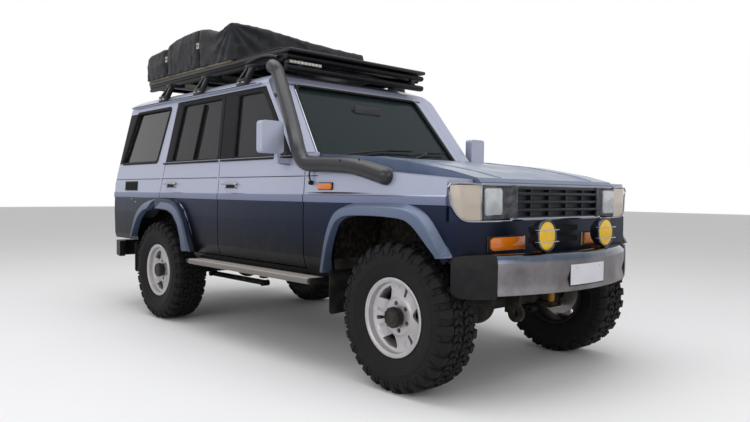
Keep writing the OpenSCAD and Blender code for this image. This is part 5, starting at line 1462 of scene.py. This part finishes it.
SEAT_X, SEAT_Y, BENCH_X, SEAT_Z = 0.21, 0.36, -0.66, 0.666
for d, s in SIDES:
    lay(f"front_{d}_seat_cushion", cushion, (SEAT_X + 0.01, s * SEAT_Y, SEAT_Z + 0.185), -3)
    lay(f"front_{d}_seat_back", backrest, (SEAT_X - 0.245, s * SEAT_Y, SEAT_Z + 0.52), -102)
    lay(f"front_{d}_head_rest", headrest, (SEAT_X - 0.298, s * SEAT_Y, SEAT_Z + 0.888), -98)
    brick(f"front_{d}_seat_box", (SEAT_X - 0.23, s * SEAT_Y - 0.23, SEAT_Z + 0.001),
        (SEAT_X + 0.24, s * SEAT_Y + 0.23, SEAT_Z + 0.115), "trim", edge=0.008)
    for k, dy in enumerate((-0.05, 0.05)):
        tube(f"front_{d}_head_post_{k}", [(SEAT_X - 0.296, s * SEAT_Y + dy, SEAT_Z + 0.77),
            (SEAT_X - 0.3, s * SEAT_Y + dy, SEAT_Z + 0.85)], 0.006, "chrome", n=10)
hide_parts("seats")
lay("bench_cushion", bench_cushion, (BENCH_X + 0.01, 0, SEAT_Z + 0.185), -3)
lay("bench_back", bench_back, (BENCH_X - 0.245, 0, SEAT_Z + 0.52), -102)
brick("bench_box", (BENCH_X - 0.23, -0.5, SEAT_Z + 0.001), (BENCH_X + 0.24, 0.5, SEAT_Z + 0.115), "trim",
    edge=0.008)
print("seats laid; one cushion has", len(cushion.polygons), "faces")

# %% Steering wheel and dashboard trim
tilt = Matrix.Translation((0.593, -0.36, 1.171)) @ Matrix.Rotation(math.radians(-62), 4, "Y")
def tilted(o):
    o.data.transform(tilt)
    return o
ring = [(0.175 * math.cos(2 * math.pi * i / 60), 0.175 * math.sin(2 * math.pi * i / 60), 0) for i in range(60)]
o = tilted(tube("steering_wheel_rim", ring, 0.0145, "trim", "root", True, 14))
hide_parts("steering_wheel")
tilted(turned("steering_wheel_hub", [(0.0, 0.018), (0.034, 0.017), (0.05, 0.008), (0.054, -0.01),
    (0.03, -0.019), (0.0, -0.019)], "trim", (0, 0, 0), "root", 40, "Z"))
for k, a in enumerate((90, 210, 330)):
    c, n = math.cos(math.radians(a)), math.sin(math.radians(a))
    line = [(r * c, r * n, z) for r, z in ((0.045, 0), (0.11, -0.002), (0.17, 0))]
    tilted(tube(f"steering_wheel_spoke_{k}", line, 0.014, "trim", n=10, flat=0.45))
slab("dash_hood", [(0.7, -0.555, 1.21), (0.7, -0.175, 1.21), (0.77, -0.165, 1.2365), (0.77, -0.565, 1.2365)],
    (0.02, 0, 0.002), "trim", "root", 0.004)
# Near-black sheets in the vent openings are painted shade; the radio face is black
for k, y in enumerate((-0.62, -0.06, 0.06, 0.62)):
    brick(f"dash_vent_{k}", (0.6935, y - 0.045, 1.13), (0.6955, y + 0.045, 1.175), "dark_slot", edge=0)
brick("dash_radio", (0.693, -0.09, 1.04), (0.6955, 0.09, 1.095), "dark_slot", edge=0.0005)
brick("dash_glove_box", (0.6935, 0.2, 0.985), (0.6955, 0.6, 1.095), "satin_black", edge=0.0005)
turned("gear_knob", [(0.0, 0.03), (0.016, 0.026), (0.022, 0.01), (0.016, -0.008), (0.006, -0.012),
    (0.0, -0.012)], "trim", (0.56, -0.04, 0.96), "root", 24, "Z")
tube("gear_stick", [(0.575, -0.04, 0.672), (0.56, -0.04, 0.955)], 0.006, "bright_metal", n=10)
slab("mirror_inside", [(0.5, -0.125, 1.59), (0.5, 0.125, 1.59), (0.494, 0.12, 1.648), (0.494, -0.12, 1.648)],
    (0.018, 0, 0), "trim", "root", 0.008)
print("cabin trimmed")

# %% [markdown]
# ## Back of the body
# The two back doors are unequal. The narrow one carries a handle and a blank plate, and
# both have hinge straps. Lamps stand beside them, and rubber flaps hang behind the wheels.

# %% Lamps, handle, hinges and flaps
for d, s in SIDES:
    lenses = ((0.812, 0.9, "amber"), (0.903, 0.985, "red"), (0.988, 1.07, "frosted"))
    for k, (z0, z1, finish) in enumerate(lenses):
        brick(f"{d}_tail_lens_{k}", (TAIL - 0.0125, s * 0.793 - 0.036, z0),
            (TAIL - 0.004, s * 0.793 + 0.036, z1), finish, edge=0.002)
    brick(f"{d}_tail_lamp_frame", (TAIL - 0.0065, s * 0.793 - 0.041, 0.8),
        (TAIL - 0.0005, s * 0.793 + 0.041, 1.08), "gasket")
    for end, x, inner in (("front", 1.1415, 0.605), ("rear", -1.52, 0.64)):
        outline = [(inner, 0.345), (0.835, 0.335), (0.848, 0.35), (0.848, 0.585), (inner, 0.585)]
        slab(f"{end}_{d}_flap_sheet", [(x - 0.0035 + 0.012 * (0.585 - z), s * y, z) for y, z in outline],
            (0.007, 0, 0), "flap", "root", 0.002)
        brick(f"{end}_{d}_flap_strip", (x - 0.006, s * 0.742 - 0.095, 0.565),
            (x + 0.006, s * 0.742 + 0.095, 0.588), "satin_black")
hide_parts("tail_lamps")
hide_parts("mudflaps")
for node, label in (("back_glass_wide", "wide"), ("back_glass_narrow", "narrow")):
    points = [v.co for v in nodes[node].data.vertices]
    flat = hull([(p.y, p.z) for p in points])
    line = rounded(flat, 0.03, 5)
    def at_height(z):
        near = sorted(points, key=lambda p: abs(p.z - z))[:6]
        return min(p.x for p in near)
    tube(f"back_{label}_rubber", [(at_height(z) - 0.001, y, z) for y, z in line], 0.011, "gasket",
        f"back_door_{label}", True, 8, up=(1, 0, 0))
# Handle and blank plate on the narrow door, hinge straps at both outer edges
def back_plate(name, y0, y1, z0, z1, t, finish, body="back_door_narrow", lift=0.0005):
    line = rounded([(y0, z0), (y1, z0), (y1, z1), (y0, z1)], 0.008)
    return slab(name, [(TAIL - lift, y, z) for y, z in line], (-t, 0, 0), finish, body, 0.001)

back_plate("back_handle_cup", 0.225, 0.365, 1.03, 1.085, 0.004, "chrome")
# The dark plate in the cup is painted shade in the recess behind the pull
back_plate("back_handle_recess", 0.24, 0.35, 1.036, 1.058, 0.0012, "gasket", lift=0.0048)
tube("back_handle_pull", smooth_path([(TAIL - 0.008, 0.232, 1.064), (TAIL - 0.024, 0.25, 1.067),
    (TAIL - 0.024, 0.34, 1.067), (TAIL - 0.008, 0.358, 1.064)], 4), 0.01, "chrome", "back_door_narrow", n=10,
    flat=0.6)
back_plate("back_plate_frame", 0.3, 0.652, 0.76, 0.884, 0.005, "black_plastic")
back_plate("back_plate_blank", 0.306, 0.646, 0.766, 0.878, 0.0008, "plate", lift=0.0056)
for d, body, s in (("wide", "back_door_wide", -1), ("narrow", "back_door_narrow", 1)):
    for k, z in enumerate((0.7, 1.12)):
        y0, y1 = sorted((s * 0.655, s * 0.734))
        back_plate(f"back_{d}_hinge_strap_{k}", y0, y1, z - 0.02, z + 0.02, 0.006, "body", body)
print("back fittings placed")
